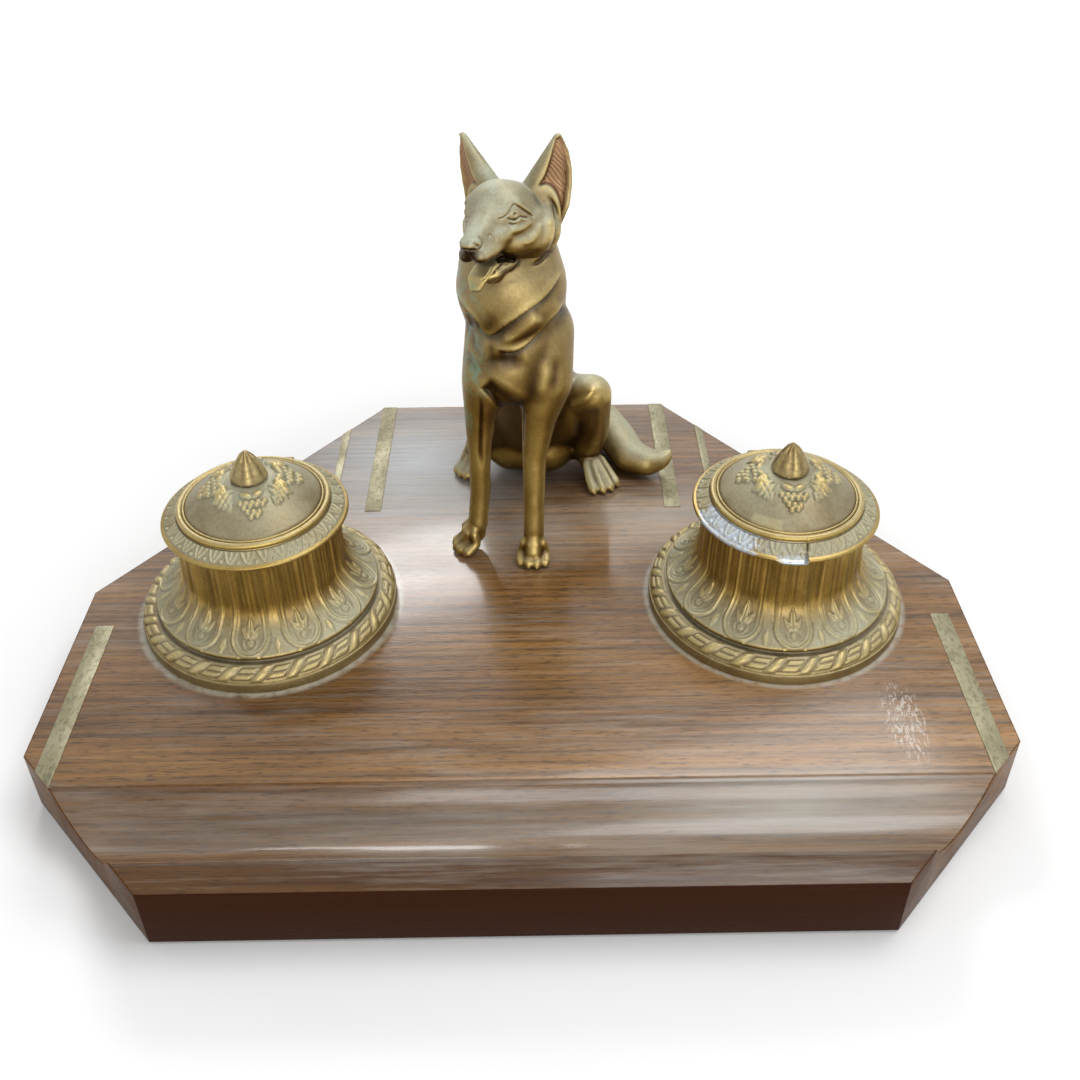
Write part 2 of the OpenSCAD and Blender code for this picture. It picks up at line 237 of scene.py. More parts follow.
def mix(tree, factor, first, second, how="MIX"):
    node = tree.nodes.new("ShaderNodeMix")
    node.data_type = "RGBA"
    node.blend_type = how
    for socket, value in ((node.inputs[0], factor), (node.inputs[6], first), (node.inputs[7], second)):
        if isinstance(value, tuple) and len(value) == 3:
            value = (*value, 1)
        fill(tree, socket, value)
    return node.outputs[2]


def maths(tree, how, first, second=0.0):
    node = tree.nodes.new("ShaderNodeMath")
    node.operation = how
    fill(tree, node.inputs[0], first)
    fill(tree, node.inputs[1], second)
    return node.outputs[0]


def times(tree, first, second):
    return maths(tree, "MULTIPLY", first, second)


def plus(tree, first, second):
    return maths(tree, "ADD", first, second)


def minus(tree, first, second):
    return maths(tree, "SUBTRACT", first, second)


def larger(tree, first, second):
    return maths(tree, "MAXIMUM", first, second)


def smaller(tree, first, second):
    return maths(tree, "MINIMUM", first, second)


def length_of(tree, vector):
    length = add_node(tree, "ShaderNodeVectorMath", {"operation": "LENGTH"})
    fill(tree, length.inputs[0], vector)
    return length.outputs["Value"]


def attribute(tree, name):
    return add_node(tree, "ShaderNodeAttribute", {"attribute_name": name}).outputs["Fac"]


def bump(tree, height, strength, distance, under=None):
    node = add_node(tree, "ShaderNodeBump", Strength=strength, Distance=distance, Height=height)
    if under is not None:
        fill(tree, node.inputs["Normal"], under)
    return node.outputs["Normal"]


def dress(piece, material):
    piece.data.materials.clear()
    piece.data.materials.append(material)


# %% [markdown]
# The board is a dark, close-grained wood under a worn varnish. The grain runs from left to right
# as long streaks with fine dark pores. Handling has left a pale bloom on the varnish, and pale
# patches of painted reflection lie over it, with a painted glint in the groove. Polish has dried
# in a ring round each inkwell, there are a few white scuffs, and the sides carry painted shade.
# All of it is drawn on object coordinates, stretched along the grain, so that the pattern runs
# through the edges too.

# %% Wood
def ring_mask(tree, centre, radius, width):
    where = place_on_piece(tree, (1, 1, 0), (-centre[0], -centre[1], 0))
    off = maths(tree, "ABSOLUTE", minus(tree, length_of(tree, where), radius))
    return minus(tree, 1.0, maths(tree, "DIVIDE", off, width))


def spot_mask(tree, centre, size):
    (x, y), (wide, deep) = centre, size
    where = place_on_piece(tree, (1 / wide, 1 / deep, 0), (-x / wide, -y / deep, 0))
    return minus(tree, 1.0, length_of(tree, where))


def beyond(tree, direction, distance):
    """1 past a plane that stands this far from the middle, 0 before it."""
    reach = add_node(tree, "ShaderNodeVectorMath", {"operation": "DOT_PRODUCT"})
    fill(tree, reach.inputs[0], place_on_piece(tree, (1, 1, 1)))
    reach.inputs[1].default_value = tuple(direction)
    return maths(tree, "GREATER_THAN", reach.outputs["Value"], distance)


def make_wood(sides):
    material, tree, shader = new_material("worn_rosewood")
    front = beyond(tree, *sides[0])
    side = front
    for direction, distance in sides[1:]:
        side = larger(tree, side, beyond(tree, direction, distance))
    broad = noise(tree, (4, 34, 34), 4, 0.55, 0.4)
    streaks = noise(tree, (9, 430, 430), 4, 0.6, 0.1, (3, 1, 2))
    pores = noise(tree, (210, 1700, 1700), 2, 0.5, 0.0, (1, 7, 3))
    base = ramp(tree, broad, [
        (0.3, (0.1, 0.044, 0.012)), (0.5, (0.17, 0.082, 0.022)), (0.7, (0.25, 0.128, 0.038))
    ])
    streak_tone = ramp(tree, streaks, [(0.34, 0.42), (0.5, 0.9), (0.66, 1.32)])
    colour = mix(tree, 0.9, base, streak_tone, "MULTIPLY")
    pore_tone = ramp(tree, pores, [(0.35, 0.35), (0.44, 1.0)])
    colour = mix(tree, 0.8, colour, pore_tone, "MULTIPLY")
    # The wood of the groove is darker, and that of the rail in front of it most of all
    rail = beyond(tree, (0, -1, 0), -RAIL_Y)
    dark = plus(tree, times(tree, beyond(tree, (0, -1, 0), -STEP_Y), 0.4), times(tree, rail, 0.35))
    colour = mix(tree, dark, colour, (0.04, 0.016, 0.006))
    # Pale bloom on the varnish, with pale patches of painted reflection that are strongest behind the
    # left inkwell, and lie right of the dog, between its feet and along the groove, with a painted glint
    # in the groove's right part; the painted reflection behind the left inkwell is cooler in colour
    cloud = noise(tree, (9, 30, 30), 5, 0.65, 0.3, (8, 2, 5))
    fine = noise(tree, (30, 600, 600), 3, 0.6, 0.0, (5, 5, 1))
    bloom_and_reflection = times(tree, cloud, fine)
    back_left = spot_mask(tree, (-0.045, 0.085), (0.08, 0.075))
    back_right = spot_mask(tree, (0.055, 0.045), (0.06, 0.03))
    groove = spot_mask(tree, (0.0, -0.104), (0.3, 0.02))
    glint = spot_mask(tree, (0.088, -0.097), (0.085, 0.014))
    between = spot_mask(tree, (0.006, 0.036), (0.035, 0.03))
    # These spots are painted reflection, added to the bloom
    near = larger(tree, times(tree, back_left, 1.5), larger(tree, back_right, times(tree, groove, 0.6)))
    near = larger(tree, near, larger(tree, between, times(tree, glint, 1.6)))
    near = times(tree, larger(tree, near, 0.0), 0.3)
    bloom_and_reflection = plus(tree, times(tree, bloom_and_reflection, 0.7), near)
    bloom_and_reflection = ramp(tree, bloom_and_reflection, [(0.17, 0.0), (0.66, 0.8)])
    bloom_and_reflection = times(tree, bloom_and_reflection, minus(tree, 1.0, times(tree, side, 0.85)))
    cool_reflection = smaller(tree, larger(tree, times(tree, back_left, 2.0), 0.0), 1.0)
    colour = mix(tree, bloom_and_reflection, colour, mix(tree, cool_reflection, (0.42, 0.4, 0.36), (0.4, 0.44, 0.46)))
    # Dried polish round the feet of the inkwells, and the white scuffs
    grit = ramp(tree, noise(tree, (330, 330, 330), 4, 0.6), [(0.25, 0.15), (0.55, 1.0)])
    rings = larger(tree, ring_mask(tree, WELL_PLACES[0], 0.0464, 0.0024),
                   ring_mask(tree, WELL_PLACES[1], 0.0462, 0.0019))
    rings = times(tree, larger(tree, rings, 0.0), grit)
    colour = mix(tree, smaller(tree, rings, 0.75), colour, (0.38, 0.36, 0.29))
    scratch = ramp(tree, noise(tree, (900, 360, 300), 3, 0.6, 1.0, (2, 9, 4)), [(0.5, 0.0), (0.62, 1.0)])
    spot = larger(tree, spot_mask(tree, (0.1255, -0.068), (0.0085, 0.02)), 0.0)
    scuffs = times(tree, times(tree, spot, scratch), 1.5)
    colour = mix(tree, smaller(tree, scuffs, 0.55), colour, (0.55, 0.52, 0.47))
    # The front face is nearly black; the other sides are a little darker than the top, as painted shade
    colour = mix(tree, times(tree, side, 0.45), colour, (0.06, 0.019, 0.004))
    colour = mix(tree, times(tree, front, 0.85), colour, (0.022, 0.005, 0.001))
    fill(tree, shader.inputs["Base Color"], colour)
    gloss = ramp(tree, noise(tree, (22, 90, 90), 4, 0.6, 0.0, (4, 4, 9)), [(0.3, 0.24), (0.7, 0.4)])
    gloss = mix(tree, bloom_and_reflection, gloss, (0.5, 0.5, 0.5))
    fill(tree, shader.inputs["Roughness"], gloss)
    dull = larger(tree, side, times(tree, rail, 0.6))
    fill(tree, shader.inputs["Specular IOR Level"], minus(tree, 0.4, times(tree, dull, 0.36)))
    grain = bump(tree, pores, 0.3, 0.0002)
    fill(tree, shader.inputs["Normal"], bump(tree, streaks, 0.15, 0.0002, grain))
    fill(tree, shader.inputs["Coat Weight"], times(tree, minus(tree, 1.0, dull), 0.5))
    shader.inputs["Coat Roughness"].default_value = 0.13
    return material


WELL_PLACES = ((-0.0923, -0.0049), (0.0923, -0.0049))

# %% [markdown]
# The board itself starts as a block. Four cuts take the corners off on the diagonal, a cylinder
# cut along the front makes the pen groove, and a shallow block cut leaves the sharp step behind it.
# A bevel then breaks every edge, as wear does.

# %% Board
low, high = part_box("base_board")
BOARD_W = 320 * MM
BOARD_D = 259 * MM
FRONT_W = 222 * MM
BACK_W = 127 * MM
FRONT_CUT = 52.5 * MM
REAR_CUT = 127 * MM
STEP_Y = -89.2 * MM
RAIL_Y = -118.3 * MM
GROOVE_HALF = 14.0
GROOVE_DEEP = 9.5
GROOVE_Y = -104 * MM
STEP_TOOL_Y = -96.6 * MM
STEP_TOOL_UP = 8.9 * MM
STEP_TOOL_H = 20 * MM
TOOL_LONG = 0.4


def corner_cuts(inset=0.0):
    """The corner cuts as a point on each and its outward direction."""
    half_w, half_d = BOARD_W / 2, BOARD_D / 2
    front_a = Vector((FRONT_W / 2, -half_d, 0))
    front_b = Vector((half_w, -half_d + FRONT_CUT, 0))
    rear_a = Vector((half_w, half_d - REAR_CUT, 0))
    rear_b = Vector((BACK_W / 2, half_d, 0))
    cuts = []
    for start, end in ((front_a, front_b), (rear_a, rear_b)):
        along = (end - start).normalized()
        out = Vector((along.y, -along.x, 0))
        for side in (1, -1):
            normal = Vector((out.x * side, out.y, 0))
            spot = Vector((start.x * side, start.y, 0)) - normal * inset
            cuts.append((spot, normal))
    return cuts


def trim_corners(inset):
    """In edit mode, cut the piece off where the board ends, less the inset."""
    for spot, normal in corner_cuts(inset):
        bpy.ops.mesh.select_all(action="SELECT")
        bpy.ops.mesh.bisect(plane_co=spot, plane_no=normal, clear_outer=True, use_fill=True)


def board_shaped_block(name, inset, bottom, top):
    clear_selection()
    bpy.ops.mesh.primitive_cube_add(size=1, location=(0, 0, (bottom + top) / 2))
    piece = call_it(name)
    bpy.ops.object.mode_set(mode="EDIT")
    bpy.ops.transform.resize(value=(BOARD_W - 2 * inset, BOARD_D - 2 * inset, top - bottom))
    trim_corners(inset)
    bpy.ops.object.mode_set(mode="OBJECT")
    return settle(piece)


def cut_away(piece, tool):
    pick(piece)
    cut = piece.modifiers.new("cut", "BOOLEAN")
    cut.operation = "DIFFERENCE"
    cut.solver = "EXACT"
    cut.object = tool
    apply_all(piece)
    bpy.data.objects.remove(tool)


SKIN = 0.4 * MM
outer_sides = [(Vector((0, -1, 0)), BOARD_D / 2 - SKIN), (Vector((0, 1, 0)), BOARD_D / 2 - SKIN),
               (Vector((1, 0, 0)), BOARD_W / 2 - SKIN), (Vector((-1, 0, 0)), BOARD_W / 2 - SKIN)]
outer_sides += [(normal, spot.dot(normal) - SKIN) for spot, normal in corner_cuts()]
wood = make_wood(outer_sides)
board = board_shaped_block("board", 0.0, low.z, high.z)
groove_r = (GROOVE_HALF ** 2 + GROOVE_DEEP ** 2) / (2 * GROOVE_DEEP) * MM
clear_selection()
bpy.ops.mesh.primitive_cylinder_add(
    vertices=160, radius=groove_r, depth=TOOL_LONG, rotation=(0, math.pi / 2, 0),
    location=(0, GROOVE_Y, high.z - GROOVE_DEEP * MM + groove_r),
)
cut_away(board, settle(call_it("groove_tool")))
clear_selection()
bpy.ops.mesh.primitive_cube_add(size=1, location=(0, STEP_TOOL_Y, high.z + STEP_TOOL_UP))
step_tool = call_it("step_tool")
bpy.ops.object.mode_set(mode="EDIT")
bpy.ops.transform.resize(value=(TOOL_LONG, 2 * (STEP_Y - STEP_TOOL_Y), STEP_TOOL_H))
bpy.ops.object.mode_set(mode="OBJECT")
cut_away(board, settle(step_tool))
soften_edges(board, "worn edge", 0.8, 3)
smooth(board, 40)
dress(board, wood)
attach(board, "stand")
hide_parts("base_board")
report(board)

# %% [markdown]
# The strips are thin brass let into the wood, long tarnished to a grey green. Each is a bar with
# softened edges, cut off where the board ends. Brushed streaks along its length and dark spots
# where the lacquer has gone make up its colour.

# %% Brass strips
def make_strip_brass():
    material, tree, shader = new_material("tarnished_brass")
    cloud = noise(tree, (90, 60, 90), 5, 0.62, 0.4)
    speck = noise(tree, (900, 500, 900), 2, 0.5, 0.0, (3, 3, 3))
    colour = ramp(tree, cloud, [
        (0.3, (0.19, 0.17, 0.1)), (0.5, (0.27, 0.245, 0.15)), (0.7, (0.34, 0.315, 0.21))
    ])
    colour = mix(tree, 0.6, colour, ramp(tree, speck, [(0.36, 0.5), (0.5, 1.0)]), "MULTIPLY")
    fill(tree, shader.inputs["Base Color"], colour)
    shader.inputs["Metallic"].default_value = 0.55
    fill(tree, shader.inputs["Roughness"], ramp(tree, cloud, [(0.3, 0.62), (0.7, 0.42)]))
    fill(tree, shader.inputs["Normal"], bump(tree, speck, 0.3, 0.0002))
    return material


tarnished = make_strip_brass()
for node_name in ("outer_left_strip", "outer_right_strip", "rear_left_strip", "rear_right_strip",
                  "thin_left_strip", "thin_right_strip"):
    a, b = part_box(node_name)
    clear_selection()
    bpy.ops.mesh.primitive_cube_add(size=1, location=tuple((a + b) / 2))
    strip = call_it(node_name.replace("_strip", "_brass_strip"))
    bpy.ops.object.mode_set(mode="EDIT")
    bpy.ops.transform.resize(value=tuple(b - a))
    bpy.ops.object.mode_set(mode="OBJECT")
    settle(strip)
    bpy.ops.object.mode_set(mode="EDIT")
    trim_corners(0.02 * MM)
    bpy.ops.object.mode_set(mode="OBJECT")
    soften_edges(strip, "soft edge", 0.18, 2)
    smooth(strip, 40)
    dress(strip, tarnished)
    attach(strip, "stand")
    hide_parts(node_name)
    report(strip)

# %% [markdown]
# Green baize covers the underside, so that the stand slides on a desk without a scratch. It is a
# sheet cut a little smaller than the board, and its felted surface is a fine noise in colour and
# bump with a soft sheen.

# %% Baize
def make_baize():
    material, tree, shader = new_material("green_baize")
    felt = noise(tree, (1400, 1400, 1400), 3, 0.7)
    worn = noise(tree, (30, 30, 30), 4, 0.6)
    colour = ramp(tree, felt, [(0.3, (0.012, 0.05, 0.024)), (0.7, (0.035, 0.115, 0.058))])
    colour = mix(tree, 0.5, colour, ramp(tree, worn, [(0.3, 0.7), (0.7, 1.15)]), "MULTIPLY")
    fill(tree, shader.inputs["Base Color"], colour)
    shader.inputs["Roughness"].default_value = 0.95
    shader.inputs["Sheen Weight"].default_value = 0.4
    fill(tree, shader.inputs["Normal"], bump(tree, felt, 0.6, 0.0004))
    return material


cloth_low, cloth_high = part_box("baize")
baize = board_shaped_block("baize_sheet", 3.0 * MM, cloth_low.z, cloth_high.z)
soften_edges(baize, "cut edge", 0.2, 2)
smooth(baize, 40)
dress(baize, make_baize())
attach(baize, "stand")
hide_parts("baize")
report(baize)

# %% [markdown]
# The castings are spelter with a thin gilding, aged in three ways: recesses hold dark dirt, raised
# edges are rubbed bright, and surfaces that face up carry a pale grey green dust. Each piece
# brings these as attributes of its own mesh, so the wear sits exactly on its ornament. On the dog
# the relief attribute also carries painted shade and painted highlights. Others mark dark runs on
# the necks, verdigris, bare metal at a chipped rim and coppery hollows in the ears.

# %% Aged gilding
def make_gilding():
    material, tree, shader = new_material("aged_gilding")
    relief = attribute(tree, "relief")
    dust = attribute(tree, "dust")
    cloud = noise(tree, (70, 70, 70), 5, 0.62, 0.5)
    speck = noise(tree, (900, 900, 900), 3, 0.6, 0.0, (2, 5, 1))
    # The relief attribute holds dirt and wear, and on the dog painted shade and painted highlights too
    wear_and_shade = plus(tree, relief, times(tree, minus(tree, cloud, 0.5), 0.3))
    colour = ramp(tree, wear_and_shade, [
        (0.12, (0.042, 0.02, 0.004)), (0.34, (0.14, 0.077, 0.014)), (0.52, (0.26, 0.165, 0.036)),
        (0.78, (0.5, 0.365, 0.115)), (0.95, (0.7, 0.55, 0.25))
    ])
    runs = noise(tree, (650, 650, 14), 3, 0.6, 0.0, (6, 1, 0))
    shade = ramp(tree, runs, [(0.36, 0.72), (0.5, 1.05), (0.64, 1.38)])
    colour = mix(tree, attribute(tree, "streak"), colour, mix(tree, 1.0, colour, shade, "MULTIPLY"))
    film = times(tree, dust, ramp(tree, cloud, [(0.3, 0.55), (0.6, 1.0)]))
    film = times(tree, film, ramp(tree, relief, [(0.2, 0.55), (0.6, 1.0), (0.9, 0.55)]))
    colour = mix(tree, film, colour, (0.325, 0.345, 0.265))
    colour = mix(tree, 0.35, colour, ramp(tree, speck, [(0.35, 0.6), (0.55, 1.05)]), "MULTIPLY")
    green = attribute(tree, "green")
    spread = ramp(tree, noise(tree, (220, 220, 170), 5, 0.7, 0.6, (1, 3, 8)), [(0.46, 0.0), (0.66, 0.9)])
    colour = mix(tree, times(tree, green, spread), colour, (0.17, 0.25, 0.165))
    colour = mix(tree, times(tree, attribute(tree, "copper"), 0.75), colour, (0.3, 0.175, 0.095))
    blotch = ramp(tree, noise(tree, (700, 700, 700), 3, 0.6, 0.3, (4, 4, 4)), [(0.36, 0.3), (0.56, 1.0)])
    bare = times(tree, attribute(tree, "bare"), blotch)
    colour = mix(tree, bare, colour, (0.4, 0.45, 0.5))
    fill(tree, shader.inputs["Base Color"], colour)
    solid = minus(tree, 0.88, times(tree, film, 0.8))
    solid = minus(tree, solid, times(tree, green, 0.3))
    fill(tree, shader.inputs["Metallic"], solid)
    rough = plus(tree, 0.34, times(tree, film, 0.22))
    rough = plus(tree, rough, times(tree, cloud, 0.12))
    fill(tree, shader.inputs["Roughness"], rough)
    fill(tree, shader.inputs["Normal"], bump(tree, speck, 0.18, 0.00015))
    return material


gilding = make_gilding()
print("made", gilding.name)


# %% [markdown]
# Inkwells and lids are turned shapes: a profile spun round an axis. The profile is drawn by
# extruding one vertex from point to point, and spun in fine steps, so that the cast ornament can
# then be raised out of the surface. Raising it by rule, as height over angle and distance along
# the profile, gives each of its repeats the same crisp form that a casting has.

# %% Turning a profile
def turn_profile(name, outline, steps):
    clear_selection()
    bpy.ops.mesh.primitive_plane_add(size=0.001, location=(0, 0, 0))
    piece = call_it(name)
    bpy.ops.object.mode_set(mode="EDIT")
    bpy.ops.mesh.select_all(action="SELECT")
    bpy.ops.mesh.merge(type="CENTER")
    first = Vector((outline[0][0], 0, outline[0][1])) * MM
    bpy.ops.transform.translate(value=first)
    for a, b in zip(outline, outline[1:]):
        step = Vector((b[0] - a[0], 0, b[1] - a[1])) * MM
        bpy.ops.mesh.extrude_region_move(TRANSFORM_OT_translate={"value": step})
    bpy.ops.mesh.select_all(action="SELECT")
    bpy.ops.mesh.spin(steps=steps, angle=math.tau, center=(0, 0, 0), axis=(0, 0, 1))
    bpy.ops.object.mode_set(mode="OBJECT")
    return face_out(piece)


def densely(points, spacing):
    """The same line with points no further apart than spacing."""
    out = [points[0]]
    for a, b in zip(points, points[1:]):
        count = max(1, math.ceil(math.dist(a, b) / spacing))
        out += [(a[0] + (b[0] - a[0]) * i / count, a[1] + (b[1] - a[1]) * i / count)
                for i in range(1, count + 1)]
    return out


def on_profile(piece, outline):
    """For each vertex: its angle, its distance along the outline and the outline's outward normal."""
    line = np.array(outline)
    spots = corners_of(piece) / MM
    radius = np.hypot(spots[:, 0], spots[:, 1])
    angle = np.arctan2(spots[:, 1], spots[:, 0])
    keys, back = np.unique(np.round(np.stack([radius, spots[:, 2]], 1), 3), axis=0, return_inverse=True)
    apart = keys[:, None] - line[None]
    nearest = np.argmin(np.hypot(apart[..., 0], apart[..., 1]), 1)
    place = nearest[back.ravel()]
    run = np.concatenate([[0], np.cumsum(np.hypot(*np.diff(line, axis=0).T))])
    along = np.gradient(line, axis=0)
    along /= np.maximum(np.hypot(*along.T), 1e-9)[:, None]
    normal = np.stack([along[:, 1], -along[:, 0]], 1)
    return spots, radius, angle, place, run[place], normal[place]


def raise_out(spots, angle, normal, height):
    """Each spot moved out of the turned surface by its height, in mm."""
    out = np.stack([np.cos(angle), np.sin(angle)], 1) * normal[:, :1]
    return spots + np.concatenate([out, normal[:, 1:]], 1) * height[:, None]


def note_wear_and_shade(piece, relief, dust, **others):
    """The attributes that the gilding reads, each 0 where it isn't given."""
    values = {"relief": relief, "dust": dust, "streak": 0.0, "green": 0.0, "bare": 0.0} | others
    for name, value in values.items():
        note_attribute(piece, name, np.zeros(len(piece.data.vertices)) + value)


def hump(distance, width):
    return np.clip(1 - (distance / width) ** 2, 0, 1)


def soft_line(distance, width):
    return np.exp(-((distance / width) ** 2))


def rise(value, low_end, high_end):
    t = np.clip((value - low_end) / (high_end - low_end), 0, 1)
    return t * t * (3 - 2 * t)


def rounded(line, steps=4):
    """A smooth curve through the points of a traced line."""
    line = np.asarray(line, float)
    padded = np.vstack([2 * line[0] - line[1], line, 2 * line[-1] - line[-2]])
    curve = []
    for before, a, b, after in zip(padded, padded[1:], padded[2:], padded[3:]):
        for i in range(steps):
            t = i / steps
            curve.append(0.5 * (2 * a + (b - before) * t + (2 * before - 5 * a + 4 * b - after) * t ** 2
                                + (3 * a - before - 3 * b + after) * t ** 3))
    curve.append(line[-1])
    return np.array(curve)


def off_line(points, line, reach=30):
    """Distance from a line, which side of it a point lies on, and how far along it is."""
    away = np.full(len(points), 1e9)
    side = np.zeros(len(points))
    along = np.zeros(len(points))
    near = np.flatnonzero(((points > line.min(0) - reach) & (points < line.max(0) + reach)).all(1))
    spots = points[near]
    best, turned_to, part = away[near], side[near], along[near]
    lengths = np.hypot(*np.diff(line, axis=0).T)
    done = np.concatenate([[0], np.cumsum(lengths)]) / lengths.sum()
    for i, (a, b) in enumerate(zip(line, line[1:])):
        step = b - a
        t = np.clip(((spots - a) @ step) / max(step @ step, 1e-9), 0, 1)
        gap = spots - a - t[:, None] * step
        distance = np.hypot(gap[:, 0], gap[:, 1])
        turn = np.sign(step[0] * (spots[:, 1] - a[1]) - step[1] * (spots[:, 0] - a[0]))
        closer = distance < best
        best = np.where(closer, distance, best)
        turned_to = np.where(closer, turn, turned_to)
        part = np.where(closer, done[i] + t * (done[i + 1] - done[i]), part)
    away[near], side[near], along[near] = best, turned_to, part
    return away, side, along


# %% [markdown]
# The flare of an inkwell carries twelve tongues: a round-ended frame that runs up the neck as a
# pair of lines, with a three-pointed flame leaf inside and a small dart between two tongues. Below
# the cove, a ribbon winds round two reeds.

# %% Inkwell body
NECK_R = 28.2
FLARE_R = 39.6
FLARE_Z = 9.4
NECK_Z = 25.0
WELL_H = 41.6
WELL_STEPS = 720
TONGUES = 12
RIBBON_TURNS = 24
# Each flame of a tongue's leaf: its lean in radians, length, foot and half width in mm
FLAMES = ((0, 8.6, 6.6, 1.35), (-0.42, 5.2, 6.8, 0.95), (0.42, 5.2, 6.8, 0.95))


def flare_at(t):
    return (NECK_R + (FLARE_R - NECK_R) * (1 - t) ** 2.4, FLARE_Z + 1.1 + (NECK_Z - FLARE_Z - 1.1) * t)


band_low = (45.2, 4.2)
band_top = (40.8, 8.0)
band = []
for i in range(13):
    t = i / 12
    lift = 0.7 * math.sin(math.pi * t)
    band.append((band_low[0] + (band_top[0] - band_low[0]) * t + lift,
                 band_low[1] + (band_top[1] - band_low[1]) * t + lift))
outside = [(45.6, 0.0), (45.7, 0.3), (45.7, 3.2), (45.55, 3.6), (45.2, 3.7), (45.1, 4.0)]
band_start = len(outside)
outside += densely(band, 0.4)
cove_start = len(outside)
outside += [(40.2, 8.1), (39.4, 8.0), (38.9, 8.3), (38.7, 8.8), (38.9, 9.3), (39.4, 9.6), (39.6, 10.0)]
flare_start = len(outside)
outside += densely([flare_at(i / 60) for i in range(61)], 0.42)[1:]
outside += densely([(NECK_R, NECK_Z), (NECK_R - 0.5, WELL_H - 0.3)], 1.1)[1:]
outside += [(NECK_R - 0.8, WELL_H)]
inside = [(26.2, WELL_H), (26.2, 39.8), (23.8, 39.8), (23.8, 3.0), (6.0, 3.0), (6.0, 10.0), (2.2, 10.0),
          (2.2, 0.0), (26.6, 0.0), (26.6, 6.0), (36.4, 6.0), (42.4, 3.0), (42.7, 0.0), (45.6, 0.0)]
well_line = outside + inside
print("inkwell profile points:", len(well_line))


def tongue_relief(turn_part, radius, y):
    """Height in mm of the tongue ornament. turn_part runs from -1 to 1 over one tongue's pitch."""
    pitch = math.pi / TONGUES * radius
    x = turn_part * pitch
    wide = 0.7 * pitch
    centre_y = 8.0
    below = np.hypot(x, y - centre_y) - wide
    beside = np.abs(x) - wide
    off = np.where(y < centre_y, below, beside)
    height = 0.5 * soft_line(off, 0.42)
    height += 0.22 * soft_line(off + 1.25, 0.3)
    height -= 0.28 * soft_line(off - 0.85, 0.3)
    height -= 0.2 * rise(-off, 0.6, 2.0) * (1 - rise(y, 14, 20))
    # Flame leaf: a middle flame, two side flames and a round eye below them
    for lean, length, foot, broad in FLAMES:
        ux = math.sin(lean)
        start_x = ux * 2.2
        uy = math.cos(lean)
        along = (x - start_x) * ux + (y - foot) * uy
        across = (x - start_x) * uy - (y - foot) * ux
        t = np.clip(along / length, 0, 1)
        half = broad * np.sin(math.pi * t ** 0.75) ** 0.8 + 1e-6
        leaf = np.clip(1 - (across / half) ** 2, 0, 1) * ((along > 0) & (along < length))
        height += 0.62 * np.sqrt(leaf) - 0.3 * soft_line(across, 0.22) * (leaf > 0)
    height += 0.55 * np.sqrt(hump(np.hypot(x, y - 5.4), 1.15))
    height -= 0.35 * hump(np.hypot(x, y - 5.4), 0.5)
    height += 0.3 * soft_line(np.hypot(x, (y - 5.9) * 0.8) - 2.3, 0.3) * (y < 6.6)
    # Dart and its long leaf between two tongues
    between = np.abs(x) - pitch
    tip = rise(y, 1.6, 3.0) * (1 - rise(y, 5.4, 7.4))
    height += 0.5 * np.sqrt(hump(between, 0.5 + 0.75 * np.clip(1 - np.abs(y - 4.2) / 2.6, 0, 1))) * tip
    height += 0.45 * np.sqrt(hump(np.hypot(between, y - 1.7), 0.6))
    long_leaf = rise(y, 7.0, 9.0)
    height += 0.28 * soft_line(between + 1.5, 0.3) * long_leaf
    # Fine lines on the neck
    up = rise(y, 15, 20)
    for place in (0.0, 0.2, 0.45):
        height += 0.2 * soft_line(np.abs(turn_part) - place, 0.035) * up
    return height


def ribbon_relief(angle, t):
    """Height in mm of the ribbon and reeds. t runs from 0 at the band's foot to 1 at its top."""
    unit = np.mod(angle / math.tau * RIBBON_TURNS - 0.42 * t, 1.0)
    edge = np.clip(np.minimum(t, 1 - t) / 0.14, 0, 1)
    ribbon = np.clip(1 - ((unit - 0.2) / 0.17) ** 4, 0, 1) ** 0.5
    crease = 0.25 * soft_line(np.abs(unit - 0.2) - 0.1, 0.03)
    inside_reed = np.clip((unit - 0.42) / 0.07, 0, 1) * np.clip((0.98 - unit) / 0.07, 0, 1)
    reeds = np.sqrt(hump(t - 0.3, 0.17)) + np.sqrt(hump(t - 0.7, 0.17))
    return (0.75 * ribbon - crease + 0.62 * reeds * inside_reed - 0.25) * edge


def clear_of_ears(spots):
    """1 where the ornament may stand, 0 under the hinge ears behind the neck."""
    near = rise(9.0 - np.abs(spots[:, 0]), 0, 1.5) * (spots[:, 1] > 0) * rise(spots[:, 2], 26, 29)
    return 1 - near


